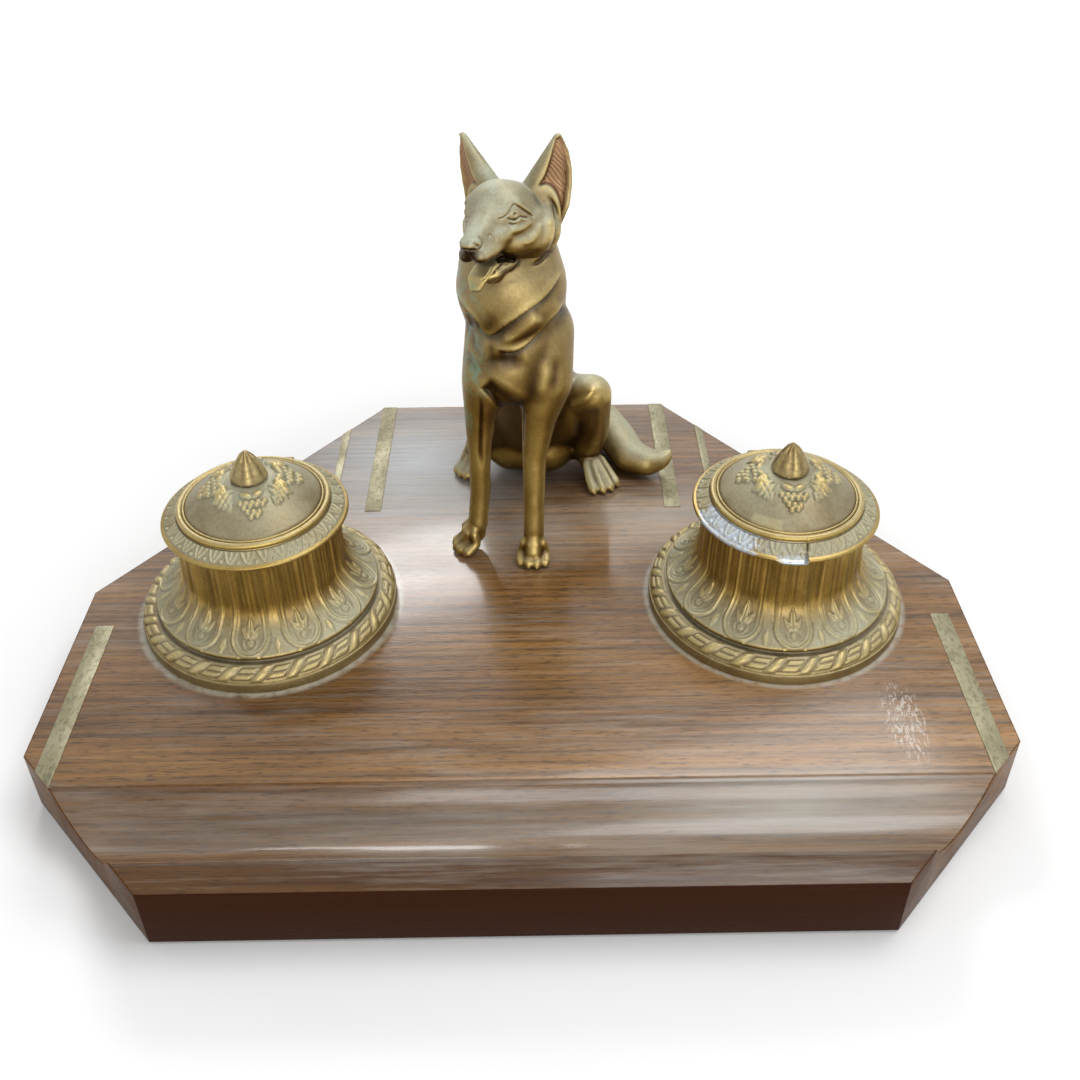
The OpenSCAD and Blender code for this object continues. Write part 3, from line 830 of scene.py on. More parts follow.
def make_well(name):
    piece = turn_profile(name, well_line, WELL_STEPS)
    spots, radius, angle, place, run, normal = on_profile(piece, well_line)
    on_band = (place >= band_start) & (place < cove_start)
    band_from = run[place == band_start].min()
    band_to = run[on_band].max()
    on_flare = (place >= flare_start - 1) & (place < len(outside) - 1)
    y = run - run[place == flare_start - 1].min()
    part = np.mod(angle / (math.pi / TONGUES) + 1, 2) - 1
    height = np.where(on_flare, tongue_relief(part, radius, y), 0.0)
    height *= np.where(on_flare, rise(y, 0.2, 0.9) * (1 - rise(spots[:, 2], 40.2, 41.2)), 1.0)
    height *= clear_of_ears(spots)
    t = (run - band_from) / (band_to - band_from)
    height += np.where(on_band, ribbon_relief(angle, t), 0.0)
    moved = raise_out(spots, angle, normal, height)
    set_corners(piece, moved * MM)
    neck = on_flare * rise(spots[:, 2], 11.5, 24.0)
    relief = 0.53 + height * 0.5 * (1 - 0.6 * neck)
    relief = np.where((place >= 4) & (place < band_start), 0.68, relief)
    relief = np.where(place < 4, 0.46, relief)
    cove = (place >= cove_start) & (place < flare_start - 3)
    relief = np.where(cove, 0.22, relief)
    rim = (place >= flare_start - 2) & (place < flare_start + 2)
    relief = np.where(rim, 0.66, relief)
    facing = np.where(on_flare, normal[:, 1], 0.3 + 0.3 * normal[:, 1])
    dust = np.clip((facing - 0.12) * 1.15, 0, 0.75) * (1 - 0.9 * neck)
    note_wear_and_shade(piece, np.clip(relief - 0.01 * neck, 0, 1), dust, streak=neck)
    return piece


# %% [markdown]
# Behind the neck two ears hold the hinge pin. Each is an outline drawn from the side and extruded
# to its width: a wedge that grows out of the neck, with a round knuckle that is bored for the pin.
# The lid's lug, which fits between the ears, is made in the same way.

# %% Hinge ears and lug
HINGE_Y = 35.1
HINGE_Z = 38.7
KNUCKLE_R = 2.2
BORE_R = 1.04
EAR_X = 5.6
EAR_W = 3.4
LUG_W = 7.0
EAR_RELIEF = 0.42
EAR_DUST = 0.15


def bar_across(name, profile, x, width):
    """A closed profile in the YZ plane, in mm, extruded along X."""
    clear_selection()
    bpy.ops.mesh.primitive_circle_add(vertices=len(profile), radius=0.01, fill_type="NGON")
    piece = call_it(name)
    set_corners(piece, [((x - width / 2) * MM, y * MM, z * MM) for y, z in profile])
    bpy.ops.object.mode_set(mode="EDIT")
    bpy.ops.mesh.select_all(action="SELECT")
    bpy.ops.mesh.extrude_region_move(TRANSFORM_OT_translate={"value": (width * MM, 0, 0)})
    bpy.ops.object.mode_set(mode="OBJECT")
    face_out(piece)
    soften_edges(piece, "cast edge", 0.3, 2)
    bore(piece)
    return piece


def knuckle_arc(start, end, count=14):
    return [(HINGE_Y + KNUCKLE_R * math.cos(math.radians(start + (end - start) * i / count)),
             HINGE_Z + KNUCKLE_R * math.sin(math.radians(start + (end - start) * i / count)))
            for i in range(count + 1)]


def bore(piece):
    clear_selection()
    bpy.ops.mesh.primitive_cylinder_add(
        vertices=32, radius=BORE_R * MM, depth=0.04, rotation=(0, math.pi / 2, 0),
        location=(0, HINGE_Y * MM, HINGE_Z * MM),
    )
    cut_away(piece, settle(call_it("bore_tool")))


EAR = [(25.6, 27.8), (25.6, 36.8)] + knuckle_arc(112, -52)
LUG = [(30.0, 42.1), (31.6, 42.0)] + knuckle_arc(170, 410, 20) + [(32.4, 43.3), (30.0, 43.4)]


def join_into(body, *others):
    for other in others:
        note_wear_and_shade(other, EAR_RELIEF, EAR_DUST)
    pick(body, *others)
    bpy.ops.object.join()


def set_down(piece, place):
    """Move a piece from the middle of the frame to its place on the board."""
    piece.location = (*place, high.z)
    settle(piece)


well = make_well("left_inkwell")
join_into(well, bar_across("ear_a", EAR, -EAR_X, EAR_W), bar_across("ear_b", EAR, EAR_X, EAR_W))
smooth(well, 50)
dress(well, gilding)
right_well = copy_of(well, "right_inkwell", (*WELL_PLACES[1], high.z))
set_down(well, WELL_PLACES[0])
for piece, node_name in ((well, "left_well"), (right_well, "right_well")):
    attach(piece, "stand")
    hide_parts(node_name)
    report(piece)

# %% [markdown]
# A lid is a shallow dish turned upside down. From the rim inwards it has a plain bright lip, a band
# of pointed leaves with a dot between each pair, a double ring, and a low dome. On the dome four
# bunches of grapes alternate with four vine leaves round the knob, all tied by a thin vine.

# %% Lid
LID_Z = 41.9
SEAT_R = 6.7
DOME_R = 23.4
SEAT_Z = 15.3
BEAD_Z = 6.5
LEAVES_ROUND = 32
LID_STEPS = 640
# The rim of the right lid, in degrees: where its gilding is gone, where it is thin, and a bent flap
CHIP_FROM, CHIP_TO = -171, -118
THIN_TO = -89
FLAP_FROM, FLAP_TO = -107, -86.2
FLAP_DROP = 0.95


def dome_at(r):
    t = (r - SEAT_R) / (DOME_R - SEAT_R)
    return BEAD_Z - 0.2 + (SEAT_Z - BEAD_Z + 0.2) * (1 - max(t, 0.0) ** 1.55)


def arc(centre, radius, start, end, count):
    return [(centre[0] + radius * math.cos(math.radians(start + (end - start) * i / count)),
             centre[1] + radius * math.sin(math.radians(start + (end - start) * i / count)))
            for i in range(count + 1)]


lid_top = [(31.4, 0.0)] + arc((31.4, 0.8), 0.8, -90, 90, 8) + [(31.0, 1.75)]
leaf_start = len(lid_top)
lid_top += densely([(31.0, 1.8), (26.7, 4.3)], 0.3)
leaf_end = len(lid_top)
lid_top += [(26.4, 4.1)] + arc((25.3, 5.3), 1.15, -40, 130, 12)
lid_top += [(24.3, 5.95)] + arc((23.8, 6.1), 0.42, 20, 160, 6) + [(23.3, 6.1)]
dome_start = len(lid_top)
lid_top += [(r, dome_at(r)) for r in np.arange(23.1, 18.5, -0.6)]
lid_top += [(r, dome_at(r)) for r in np.arange(18.4, 6.8, -0.25)]
lid_top += [(SEAT_R, SEAT_Z), (1.6, SEAT_Z)]
lid_under = [(1.6, 13.1), (5.9, 13.1), (12.0, 11.0), (18.0, 7.6), (22.6, 4.1), (22.6, 0.0), (31.4, 0.0)]
lid_line = lid_top + lid_under
print("lid profile points:", len(lid_line))


def leaf_band_relief(angle, t, radius):
    """Pointed leaves with a midrib. t runs from 0 at the lip to 1 at the ring."""
    x = (np.mod(angle / math.tau * LEAVES_ROUND, 1.0) - 0.5) * 2
    half = np.clip((t - 0.06) / 0.94, 0, 1) ** 0.7 * 0.82
    pitch = math.pi * radius / LEAVES_ROUND
    off = (np.abs(x) - half) * pitch
    height = 0.5 * soft_line(off, 0.3) * (t > 0.08)
    height += 0.34 * soft_line(x * pitch, 0.28) * rise(t, 0.25, 0.45)
    height += 0.12 * rise(-off, 0.0, 0.4)
    dot = np.hypot((np.abs(x) - 1) * pitch, (t - 0.22) * 5.0)
    height += 0.55 * np.sqrt(hump(dot, 0.62))
    return height * rise(t, 0.0, 0.06) * (1 - rise(t, 0.95, 1.0))


GRAPE_ROWS = ((12.2, 5), (13.9, 4), (15.5, 3), (17.0, 2))
LEAF_SPINE = ((9.8, -3.4), (11.2, -2.6), (12.4, -0.8), (13.2, 1.2), (14.4, 3.2))


def turned(px, py, degrees):
    c, s = math.cos(math.radians(degrees)), math.sin(math.radians(degrees))
    return px * c + py * s, py * c - px * s


def curled_leaf(u, v):
    """A leaf that curls over at its head and spreads into fingers at its tip."""
    away, side, along = off_line(np.stack([u, v], 1), rounded(LEAF_SPINE))
    wide = (1.2 + 2.3 * np.sin(math.pi * np.clip(along, 0.05, 0.95) ** 0.8)) * (1 + 0.2 * np.sin(22 * along))
    ribs = 0.16 * np.sin(26 * along + 1.4 * side * away)
    curl = 1.55 * np.sqrt(hump(np.hypot(u - 10.7, v + 3.3), 2.0))
    body = (1.6 - 0.9 * along) * np.sqrt(hump(away, wide)) - 0.3 * soft_line(away, 0.28)
    body += ribs * (away < wide)
    return np.maximum(body * (away < wide), curl)


def vine_relief(px, py):
    """Height in mm of the grapes, leaves and vine at a point of the dome, in mm from its axis."""
    height = np.zeros(len(px))
    radius = np.hypot(px, py)
    angle = np.arctan2(py, px)
    for quarter in range(4):
        u, v = turned(px, py, -90 + 90 * quarter)
        for row, (away, count) in enumerate(GRAPE_ROWS):
            for i in range(count):
                side = (i - (count - 1) / 2) * 2.0
                jitter = 0.45 * math.sin(7.0 * i + 3.0 * row + quarter)
                from_grape = np.hypot(u - away - jitter, v - side + 0.4 * jitter)
                height = np.maximum(height, 1.15 * np.sqrt(hump(from_grape, 1.1)))
        # Two lobes of a small leaf over the head of the bunch
        for lobe in (-1, 1):
            from_lobe = np.hypot((u - 10.5 + 0.35 * lobe * v) / 1.4, (v - 1.9 * lobe) / 2.3)
            height = np.maximum(height, 1.25 * np.sqrt(hump(from_lobe, 1.0)))
        u, v = turned(px, py, -45 + 90 * quarter)
        height = np.maximum(height, curled_leaf(u, -v if quarter % 2 == 0 else v))
    vine = radius - (9.3 + 0.8 * np.sin(4 * angle))
    height = np.maximum(height, 0.35 * soft_line(vine, 0.5))
    return height * rise(radius, 7.0, 7.6)


def make_lid(name, turned_by, chipped):
    piece = turn_profile(name, lid_line, LID_STEPS)
    spots, radius, angle, place, run, normal = on_profile(piece, lid_line)
    on_leaves = (place >= leaf_start) & (place < leaf_end)
    run_from = run[place == leaf_start].min()
    run_to = run[place == leaf_end - 1].max()
    t = (run - run_from) / (run_to - run_from)
    height = np.where(on_leaves, leaf_band_relief(angle, t, radius), 0.0)
    on_dome = (place >= dome_start) & (place < len(lid_top) - 2)
    c, s = math.cos(turned_by), math.sin(turned_by)
    px = spots[:, 0] * c + spots[:, 1] * s
    py = -spots[:, 0] * s + spots[:, 1] * c
    height += np.where(on_dome, vine_relief(px, py), 0.0)
    moved = raise_out(spots, angle, normal, height)
    bare = np.zeros(len(spots))
    if chipped:
        # The gilding is gone from the front left of the rim, and a flap of the lip is bent down
        degrees = np.degrees(angle)
        ragged = degrees + 2.5 * np.sin(radius * 2.1) + 1.5 * np.sin(radius * 5.3)
        past_chip = rise(ragged, CHIP_TO - 3, CHIP_TO)
        strong = rise(ragged, CHIP_FROM, CHIP_FROM + 5) * (1 - past_chip)
        weak = 0.2 * past_chip * (1 - rise(ragged, THIN_TO - 3, THIN_TO)) * (1 - rise(height, 0.1, 0.3))
        weak *= place >= leaf_start
        bare = strong * (1 - 0.35 * rise(height, 0.3, 0.5)) + weak
        bare *= (place < leaf_end + 2) * (radius > 26.0)
        flap = rise(degrees, FLAP_FROM, FLAP_FROM + 6) * (1 - rise(degrees, -86.8, FLAP_TO))
        flap *= rise(radius, 29.8, 31.0)
        bare = np.maximum(bare, flap) * (place > 0)
        moved[:, 2] -= FLAP_DROP * flap
        slit = soft_line(degrees + 85.9 + 0.5 * (radius - 28), 0.5) * rise(radius, 25.5, 27)
        moved[:, 2] -= 0.8 * slit * (spots[:, 2] > 1.2)
        height -= 0.8 * slit
    moved[:, 2] += LID_Z
    set_corners(piece, moved * MM)
    relief = 0.42 + height * np.where(on_dome, 0.26, 0.6)
    if chipped:
        rubbed = rise(degrees, -134, -131) * (1 - rise(degrees, -106, -103)) * rise(radius, 20.4, 20.8)
        relief += 0.2 * rubbed * (radius < 26)
    ring = (place > leaf_end) & (place < dome_start - 1)
    relief = np.where(ring, 0.66, relief)
    dips = (place == leaf_end) | (place == leaf_end + 14) | (place == dome_start - 1)
    relief = np.where(dips, 0.15, relief)
    relief = np.where(place < leaf_start, 0.6, relief)
    relief = np.where(place >= len(lid_top), 0.3, relief)
    facing = np.where(place < len(lid_top), normal[:, 1], 0.0)
    dust = np.clip((facing - 0.38) * 1.5, 0, 0.85) * np.where(place < leaf_start, 0.15, 1.0)
    dust *= np.where(ring, 0.5, 1.0) * (1 - 0.5 * rise(height, 0.6, 1.3))
    note_wear_and_shade(piece, np.clip(relief, 0, 1), dust, bare=np.clip(bare, 0, 1))
    return piece


for side_name, place, turned_by, chipped in (
    ("left", WELL_PLACES[0], math.radians(14), False), ("right", WELL_PLACES[1], math.radians(-3), True),
):
    lid = make_lid(side_name + "_dome_lid", turned_by, chipped)
    join_into(lid, bar_across("lug", LUG, 0, LUG_W))
    smooth(lid, 50)
    set_down(lid, place)
    dress(lid, gilding)
    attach(lid, side_name + "_lid_swing")
    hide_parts(side_name + "_lid")
    report(lid)

# %% [markdown]
# The knob is a small pine cone, worn so smooth that only flutes and a faint trace of its scales are
# left. It stands on a short stem that is riveted through the lid.

# %% Pine-cone knobs
KNOB_H = 11.3
KNOB_STEPS = 120
SCALES_ROUND = 9


def knob_at(t):
    return (6.3 * (1 - t) ** 0.78 + 0.5 * math.sin(math.pi * t), 1 + (KNOB_H - 1.1) * t)


knob_line = [(0.0, -2.5), (1.6, -2.5), (1.6, 0.0), (5.4, 0.0), (6.0, 0.25), (6.3, 0.6)]
knob_line += densely([knob_at(i / 40) for i in range(40)], 0.35)
knob_line += [(0.0, KNOB_H - 0.1)]


def make_knob(name):
    piece = turn_profile(name, knob_line, KNOB_STEPS)
    spots, _, angle, place, _, normal = on_profile(piece, knob_line)
    on_cone = (place > 5) & (place < len(knob_line) - 2)
    t = np.clip((spots[:, 2] - 1) / (KNOB_H - 1), 0, 1)
    row = t * 4.6
    half = np.mod(np.floor(row), 2) * 0.5
    across = np.mod(angle / math.tau * SCALES_ROUND + half, 1.0) - 0.5
    up = np.mod(row, 1.0) - 0.45
    scale = np.sqrt(np.clip(1 - (across / 0.47) ** 2 - (up / 0.6) ** 2, 0, 1))
    flutes = 0.16 * np.cos(SCALES_ROUND * angle) + 0.12 * np.cos(5 * angle + 0.6)
    height = np.where(on_cone, (0.12 * scale - 0.05 + flutes) * (1 - rise(t, 0.8, 0.97)), 0.0)
    moved = raise_out(spots, angle, normal, height)
    moved[:, 2] += LID_Z + SEAT_Z
    set_corners(piece, moved * MM)
    note_wear_and_shade(piece, np.clip(0.54 + height * 0.6, 0, 1), 0.3)
    return piece


for side_name, place in (("left", WELL_PLACES[0]), ("right", WELL_PLACES[1])):
    knob = make_knob(side_name + "_pine_cone")
    smooth(knob, 60)
    set_down(knob, place)
    dress(knob, gilding)
    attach(knob, side_name + "_lid_swing")
    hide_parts(side_name + "_finial")
    report(knob)

# %% [markdown]
# The dog is sculpted as a modeller would build it up in clay: limbs and muscles as pairs of balls
# with a skin stretched over them, all melted into one body, and then worked with a tool. Its
# places are measured from the board's top, below the chest.

# %% Clay forms of the dog
DOG_AT = Vector((0, 20.5, 23.4))
HEAD_AT = Vector((-3.5, 12, 136))
HEAD_TURN = Matrix.Rotation(math.radians(-24), 3, "Z") @ Matrix.Rotation(math.radians(-7), 3, "Y")


def add_ball(ball, fine):
    centre = Vector(ball[:3]) * MM
    bpy.ops.mesh.primitive_ico_sphere_add(subdivisions=fine, radius=ball[3] * MM, location=centre)


def hull_of(balls, fine=3):
    """A skin stretched over balls given as (x, y, z, radius) in mm."""
    clear_selection()
    add_ball(balls[0], fine)
    piece = settle(bpy.context.active_object)
    bpy.ops.object.mode_set(mode="EDIT")
    for ball in balls[1:]:
        add_ball(ball, fine)
    bpy.ops.mesh.select_all(action="SELECT")
    bpy.ops.mesh.convex_hull()
    bpy.ops.object.mode_set(mode="OBJECT")
    return piece


def limb(*balls, fine=3):
    return [hull_of(pair, fine) for pair in zip(balls, balls[1:])]


def paw(heel, toes, width, root_up=6.5):
    """Four toes that run from the wrist and fan out, each with a blunt claw."""
    heel, toes = Vector(heel), Vector(toes)
    ahead = Vector((toes.x - heel.x, toes.y - heel.y, 0)).normalized()
    aside = Vector((-ahead.y, ahead.x, 0))
    parts = [hull_of([(*heel, 3.6), (*(toes - ahead * 3.2 + Vector((0, 0, -0.8))), 2.6)])]
    for place in (-1.5, -0.5, 0.5, 1.5):
        back = 1.5 * (abs(place) - 0.5)
        root = heel + aside * place * 1.0 + ahead * 0.9 + Vector((0, 0, root_up))
        bend = heel + aside * place * 2.6 + ahead * (4.0 - back) + Vector((0, 0, 2.6))
        knuckle = toes + aside * place * width * 0.32 + Vector((0, 0, 1.5 - back * 0.3))
        knuckle -= ahead * (1.7 + back)
        tip = toes + aside * place * width * 0.35 + ahead * (2.3 - back)
        tip.z = 2.1
        parts += limb((*root, 0.9), (*bend, 1.45), (*knuckle, 1.85), (*tip, 2.0), fine=2)
        claw = tip + ahead * 1.6
        claw.z = 1.1
        parts += limb((*tip, 1.2), (*claw, 0.9), fine=2)
    return parts


def melt(parts, name, grain, rounds):
    """Join the forms, skin them with one closed surface and smooth away the seams."""
    pick(*parts)
    bpy.ops.object.join()
    piece = call_it(name)
    skin = piece.modifiers.new("skin", "REMESH")
    skin.mode = "VOXEL"
    skin.voxel_size = grain * MM
    ease = piece.modifiers.new("ease", "SMOOTH")
    ease.factor = 0.5
    ease.iterations = rounds
    return apply_all(piece)


def body_forms():
    parts = limb((0, 18, 84, 18.2), (-1, 18, 96, 17.6), (-2, 15, 108, 19.4), (-1.5, 18, 119, 15.5))
    parts += limb((-2, 15, 108, 19.0), (-4.5, 14.5, 116.5, 15.5))
    parts += limb((0, 22, 84, 17), (0, 40, 61, 17), (3, 64, 32, 22), (4, 70, 23, 22.5))
    parts += limb((-3, 9, 76, 11), (-2, 14, 92, 16))
    parts += limb((-4, 60, 13, 12), (10, 60, 13, 13))
    # Upper arms and forelegs
    parts += limb((-6, 15, 90, 13), (-11.4, 10, 74, 9.4), (-14.4, 9, 60, 6), (-15.2, 8.5, 44, 4.5),
                  (-15.8, 8, 24, 4.0), (-17.2, 7, 10, 4.1))
    parts += limb((7, 16, 90, 13), (9.6, 10, 73, 9.8), (7, 6, 60, 6.4), (5, 3.5, 44, 4.6),
                  (4.6, 1.5, 24, 4.1), (4.4, 0, 10, 4.3))
    parts += limb((-15.2, 10, 28, 4.2), (-15.8, 10.5, 22, 3.6))
    parts += limb((4.8, 4.0, 28, 4.2), (4.6, 3.5, 22, 3.6))
    # Hind legs
    parts += limb((14, 62, 27, 15.5), (28, 40, 48.5, 7.8))
    parts += limb((28, 40, 48.5, 7.8), (29, 50, 26, 7), (27, 57, 10, 6))
    parts += limb((-8, 62, 27, 15.5), (-12, 43, 44, 6.5))
    parts += limb((-12, 43, 44, 6.5), (-15, 52, 26, 6), (-19, 61, 10, 5.5))
    # Tail
    parts += limb((20, 86, 13, 9), (34, 80, 10, 9), (41, 69, 8, 8.0), (45.5, 57, 7, 7.3),
                  (52, 53, 6.6, 6.1), (57.0, 53, 7, 4.4), (60.4, 53.6, 8.6, 2.9), (62.4, 54.6, 11.4, 1.1))
    return parts


def paw_forms():
    parts = paw((-18.2, 7, 6), (-22.6, 4.4, 3.4), 8.6)
    parts += limb((-17.0, 7.2, 14, 3.3), (-18.0, 6.6, 7, 4.0))
    parts += limb((-17.2, 7.2, 12.5, 3.5), (-21.0, 5.2, 5.0, 3.2))
    parts += paw((4.3, 0, 6), (4.0, -4.8, 3.4), 9.2)
    parts += limb((4.4, 0.4, 14, 3.5), (4.3, 0, 7, 4.2))
    parts += limb((4.4, 0.2, 12.5, 3.6), (4.2, -3.4, 5.0, 3.6))
    parts += limb((-14.0, 6.8, 15.0, 1.0), (-13.7, 5.8, 13.2, 0.8))
    parts += paw((28.5, 52.5, 6.5), (33.6, 43.2, 3.6), 10.6, 5.0)
    parts += limb((28, 54, 9, 5), (30.5, 48.5, 5.6, 3.6))
    parts += paw((-19, 61, 6), (-23.4, 54.4, 3.4), 8.4)
    return parts


def head_forms():
    parts = limb((0, 1, -2.4, 12.2), (0, -4, 0.6, 11.4))
    # Forehead into a straight bridge of the nose
    parts += limb((0, -9, 3.6, 6.2), (0, -14.5, 1.6, 4.9), (0, -20, 0.4, 4.0), (0, -25.4, -0.3, 3.1))
    for side in (-1, 1):
        parts += limb((side * 7.5, 4, -7, 9.5), (side * 5, -7, -6, 6.2))
        parts += limb((side * 5.6, -6.4, 4.0, 4.9), (side * 2.8, -11.5, 2.4, 4.5))
        # Cheekbone under the eye, and the jaw muscle
        parts += limb((side * 9.2, 0, -1.6, 4.4), (side * 6.0, -10, -1.8, 3.5), (side * 3.2, -17, -2.2, 3.3))
        parts += limb((side * 8.4, 4, -10.5, 6.4), (side * 5.8, -3.2, -13.2, 3.7))
        # Upper lip, flat in front below the nose
        parts += limb((side * 2.8, -14, -4.4, 3.7), (side * 2.6, -19.5, -4.7, 3.4),
                      (side * 2.5, -25.2, -4.6, 2.7))
        parts += limb((side * 2.2, -25.8, -0.2, 1.8), (side * 1.0, -28.0, -0.1, 1.8), fine=2)
        # Rim of the lower jaw
        parts += limb((side * 5.4, -5.5, -13.7, 1.9), (side * 4.4, -12.0, -14.2, 1.6),
                      (side * 2.3, -17.2, -14.8, 1.5), (0, -18.6, -15.0, 1.5), fine=2)
    parts += limb((0, -8, -1, 7.4), (0, -18, -2.0, 5.2), (0, -24.4, -2.2, 3.9), (0, -26.8, -1.2, 2.6))
    # Lower jaw
    parts += limb((0, -2, -13.0, 6.2), (0, -10.5, -16.2, 3.1), (0, -17.0, -16.2, 2.1))
    # Roof of the mouth
    parts += limb((-4.5, -1.5, -10.5, 4.0), (4.5, -1.5, -10.5, 4.0), (0, -8, -8.4, 3.4))
    return parts


def eye_forms():
    return [hull_of([(7.0, -6.9, 2.5, 2.6)]), hull_of([(-7.5, -7.3, 2.4, 2.8)])]


def tongue_forms():
    parts = []
    line = ((0.5, -7, -12.2), (0.3, -13, -11.4), (-0.3, -18.8, -11.7), (-1.1, -22.8, -13.6),
            (-1.8, -24.2, -17.0))
    wide = (2.6, 3.0, 3.2, 2.8, 1.3)
    for (a, wa), (b, wb) in zip(zip(line, wide), zip(line[1:], wide[1:])):
        parts.append(hull_of([(a[0] - wa, a[1], a[2], 0.9), (a[0] + wa, a[1], a[2], 0.9),
                              (b[0] - wb, b[1], b[2], 0.9), (b[0] + wb, b[1], b[2], 0.9)], 2))
    return parts


def ear_forms():
    outline = ((7.5, 7, 4, 4.6), (13.5, 8.2, -5.0, 3.2), (16.5, 9.2, 0.0, 2.8), (18.0, 10.6, 6, 2.3),
               (18.5, 11.0, 11, 2.1), (18.4, 10.9, 16, 1.9), (17.2, 10.5, 21.3, 1.5))
    return [hull_of([(side * x, y, z, r) for x, y, z, r in outline]) for side in (-1, 1)]


def place_head(parts):
    """Turn forms from the head's own frame into the dog's."""
    turn = Matrix.Translation(HEAD_AT * MM) @ HEAD_TURN.to_4x4()
    for part in parts:
        part.data.transform(turn)
    return parts


def build_clay():
    body = melt(body_forms(), "body_clay", 1.1, 14)
    head = melt(place_head(head_forms()), "head_clay", 0.7, 8)
    paws = melt(paw_forms(), "paw_clay", 0.42, 3)
    ears = melt(place_head(ear_forms()), "ear_clay", 0.5, 3)
    rest = melt(place_head(tongue_forms() + eye_forms()), "mouth_clay", 0.4, 5)
    piece = melt([body, head, paws, ears, rest], "shepherd_dog", 0.55, 2)
    set_corners(piece, corners_of(piece) + np.array(DOG_AT) * MM)
    return piece


# %% [markdown]
# Then the tool work. The creases were traced on the photograph. Each point of the clay is seen
# from the camera's place, and where a traced line passes over it the surface sinks or swells.
# On the head a point and its mirror image are treated alike, so both halves of the face agree.

# %% Tool work on the dog
def seen_at(spots):
    """The picture point, in pixels, at which each spot is seen from the camera's place."""
    from_eye = spots - np.array(VIEW_FROM)
    depth = from_eye @ np.array(VIEW_AHEAD)
    u = PICTURE / 2 + FOCAL * (from_eye @ np.array(VIEW_RIGHT)) / depth
    v = PICTURE / 2 - AXIS_UP - FOCAL * (from_eye @ np.array(VIEW_UP)) / depth
    return np.stack([u, v], 1)


def ends_fade(along, part=0.12):
    return rise(along, 0, part) * (1 - rise(along, 1 - part, 1))


def groove(points, line, width, depth, part=0.12):
    away, _, along = off_line(points, rounded(line))
    return -depth * soft_line(away, width) * ends_fade(along, part)


def ridge(points, line, width, height, part=0.2):
    return -groove(points, line, width, height, part)


def flap(points, line, width, height, sink, part):
    """A fold's edge: the surface swells on the line's left and drops on its right."""
    away, side, along = off_line(points, rounded(line))
    step = rise(away, 0.0, 1.8) * ends_fade(along, part)
    swell = height * np.exp(-away / width) * (side < 0)
    drop = sink * np.exp(-away / (width * 0.8)) * (side > 0)
    return step * (swell - drop)


def sunken(points, outline, shore):
    """How far inside a traced outline each point lies, from 0 at its edge to 1 beyond the shore."""
    line = rounded(outline + outline[:1])
    away = off_line(points, line)[0]
    crossings = np.zeros(len(points), int)
    for (ax, ay), (bx, by) in zip(line, line[1:]):
        if ay == by:
            continue
        level = (ay > points[:, 1]) != (by > points[:, 1])
        crossings += level & (points[:, 0] < ax + (points[:, 1] - ay) * (bx - ax) / (by - ay))
    return rise(away, 0, shore) * (crossings % 2)


# Lines traced on the photograph, as picture points
EYE_TOP_IN = ((514.1, 203.3), (510.5, 209.1), (507.9, 214), (502.5, 218), (498, 218.5))
EYE_TOP_OUT = ((514.1, 203.3), (520.4, 207.8), (526.6, 212.2), (533.75, 216.9))
EYE_LOW = ((506.5, 217.2), (509.6, 219.3), (514.1, 220.2), (518.5, 218.6), (520.4, 216.6), (523, 217.3),
           (529.3, 217.6))
EYE_BAG = ((508.5, 223), (512, 224.6), (516.8, 223.6))
CRESCENT = ((536.5, 219), (534.2, 226), (529.5, 232.4), (523, 235.7), (514, 236.9), (508.5, 236))
CHEEK_RIDGE = ((540.3, 221.2), (538, 232.1), (531, 240.4), (521.6, 244.1))
CHEEK_BONE = ((532.3, 219.6), (521.4, 228.2), (508.9, 231))
CHEEK_EDGE = ((546, 194.5), (553.5, 205), (557, 218), (557, 232), (553.6, 245), (545, 257),
              (535.1, 263.6), (521.1, 268))
CHEEK_SWELL = ((549, 215), (550, 230), (546, 243), (537, 253), (526, 258))
NOSTRIL = ((477.4, 236), (481.6, 239.5), (482.6, 245.5), (479, 250.5))
NOSTRIL_HOLE = ((474, 242.5), (476.4, 244.6), (478, 247.2))
NOSE_SIDE = ((488.2, 238.5), (490.6, 234.1), (497.1, 241.25))
NOSE_LIP = ((459, 246.5), (464, 249), (471, 250.5), (477, 250))
BROW = ((499, 207), (507, 199.5), (516, 198), (528, 203), (537.5, 211))
EAR_HOLLOW = ((554, 138.5), (551.2, 150), (548, 163), (543.5, 176), (537.8, 186.4), (546, 186),
              (552.5, 190), (557, 198), (559.8, 210), (561.8, 222.5), (566.8, 211), (570.2, 200),
              (572.2, 185), (572.3, 168), (571, 153), (567.6, 141.5), (561, 135))
TONGUE_LINE = ((493.6, 263), (490.8, 270), (487, 277), (480.5, 281))
FOLD_ONE = ((456, 284), (459.3, 297.2), (465.8, 307), (473.4, 315.7), (478.8, 322.2), (483.1, 329.8),
            (489.1, 334.5), (495.1, 333.5), (501.6, 328.7), (511.3, 322.2), (525.4, 312.4), (538.5, 302.7),
            (548.2, 292.9), (556.9, 281), (561.2, 269.2))
FOLD_TWO = ((497.4, 350), (505, 352.6), (514, 352.4), (523.3, 348.2), (530.9, 341.7), (539.5, 332),
            (549.3, 321.1), (558, 312.4), (565, 301))
FOLD_TWO_TOP = ((500, 343), (508, 338.5), (518, 333.5), (530, 325), (542, 313))
CHEST_HOLLOW = ((486, 356), (494, 361), (505, 364.5), (517, 363), (527, 356))
CHEST_EDGE = ((477.8, 385), (484, 380), (491.1, 376.2), (497, 378.5), (503, 382.5), (514, 389),
              (524, 394.5), (532, 398))
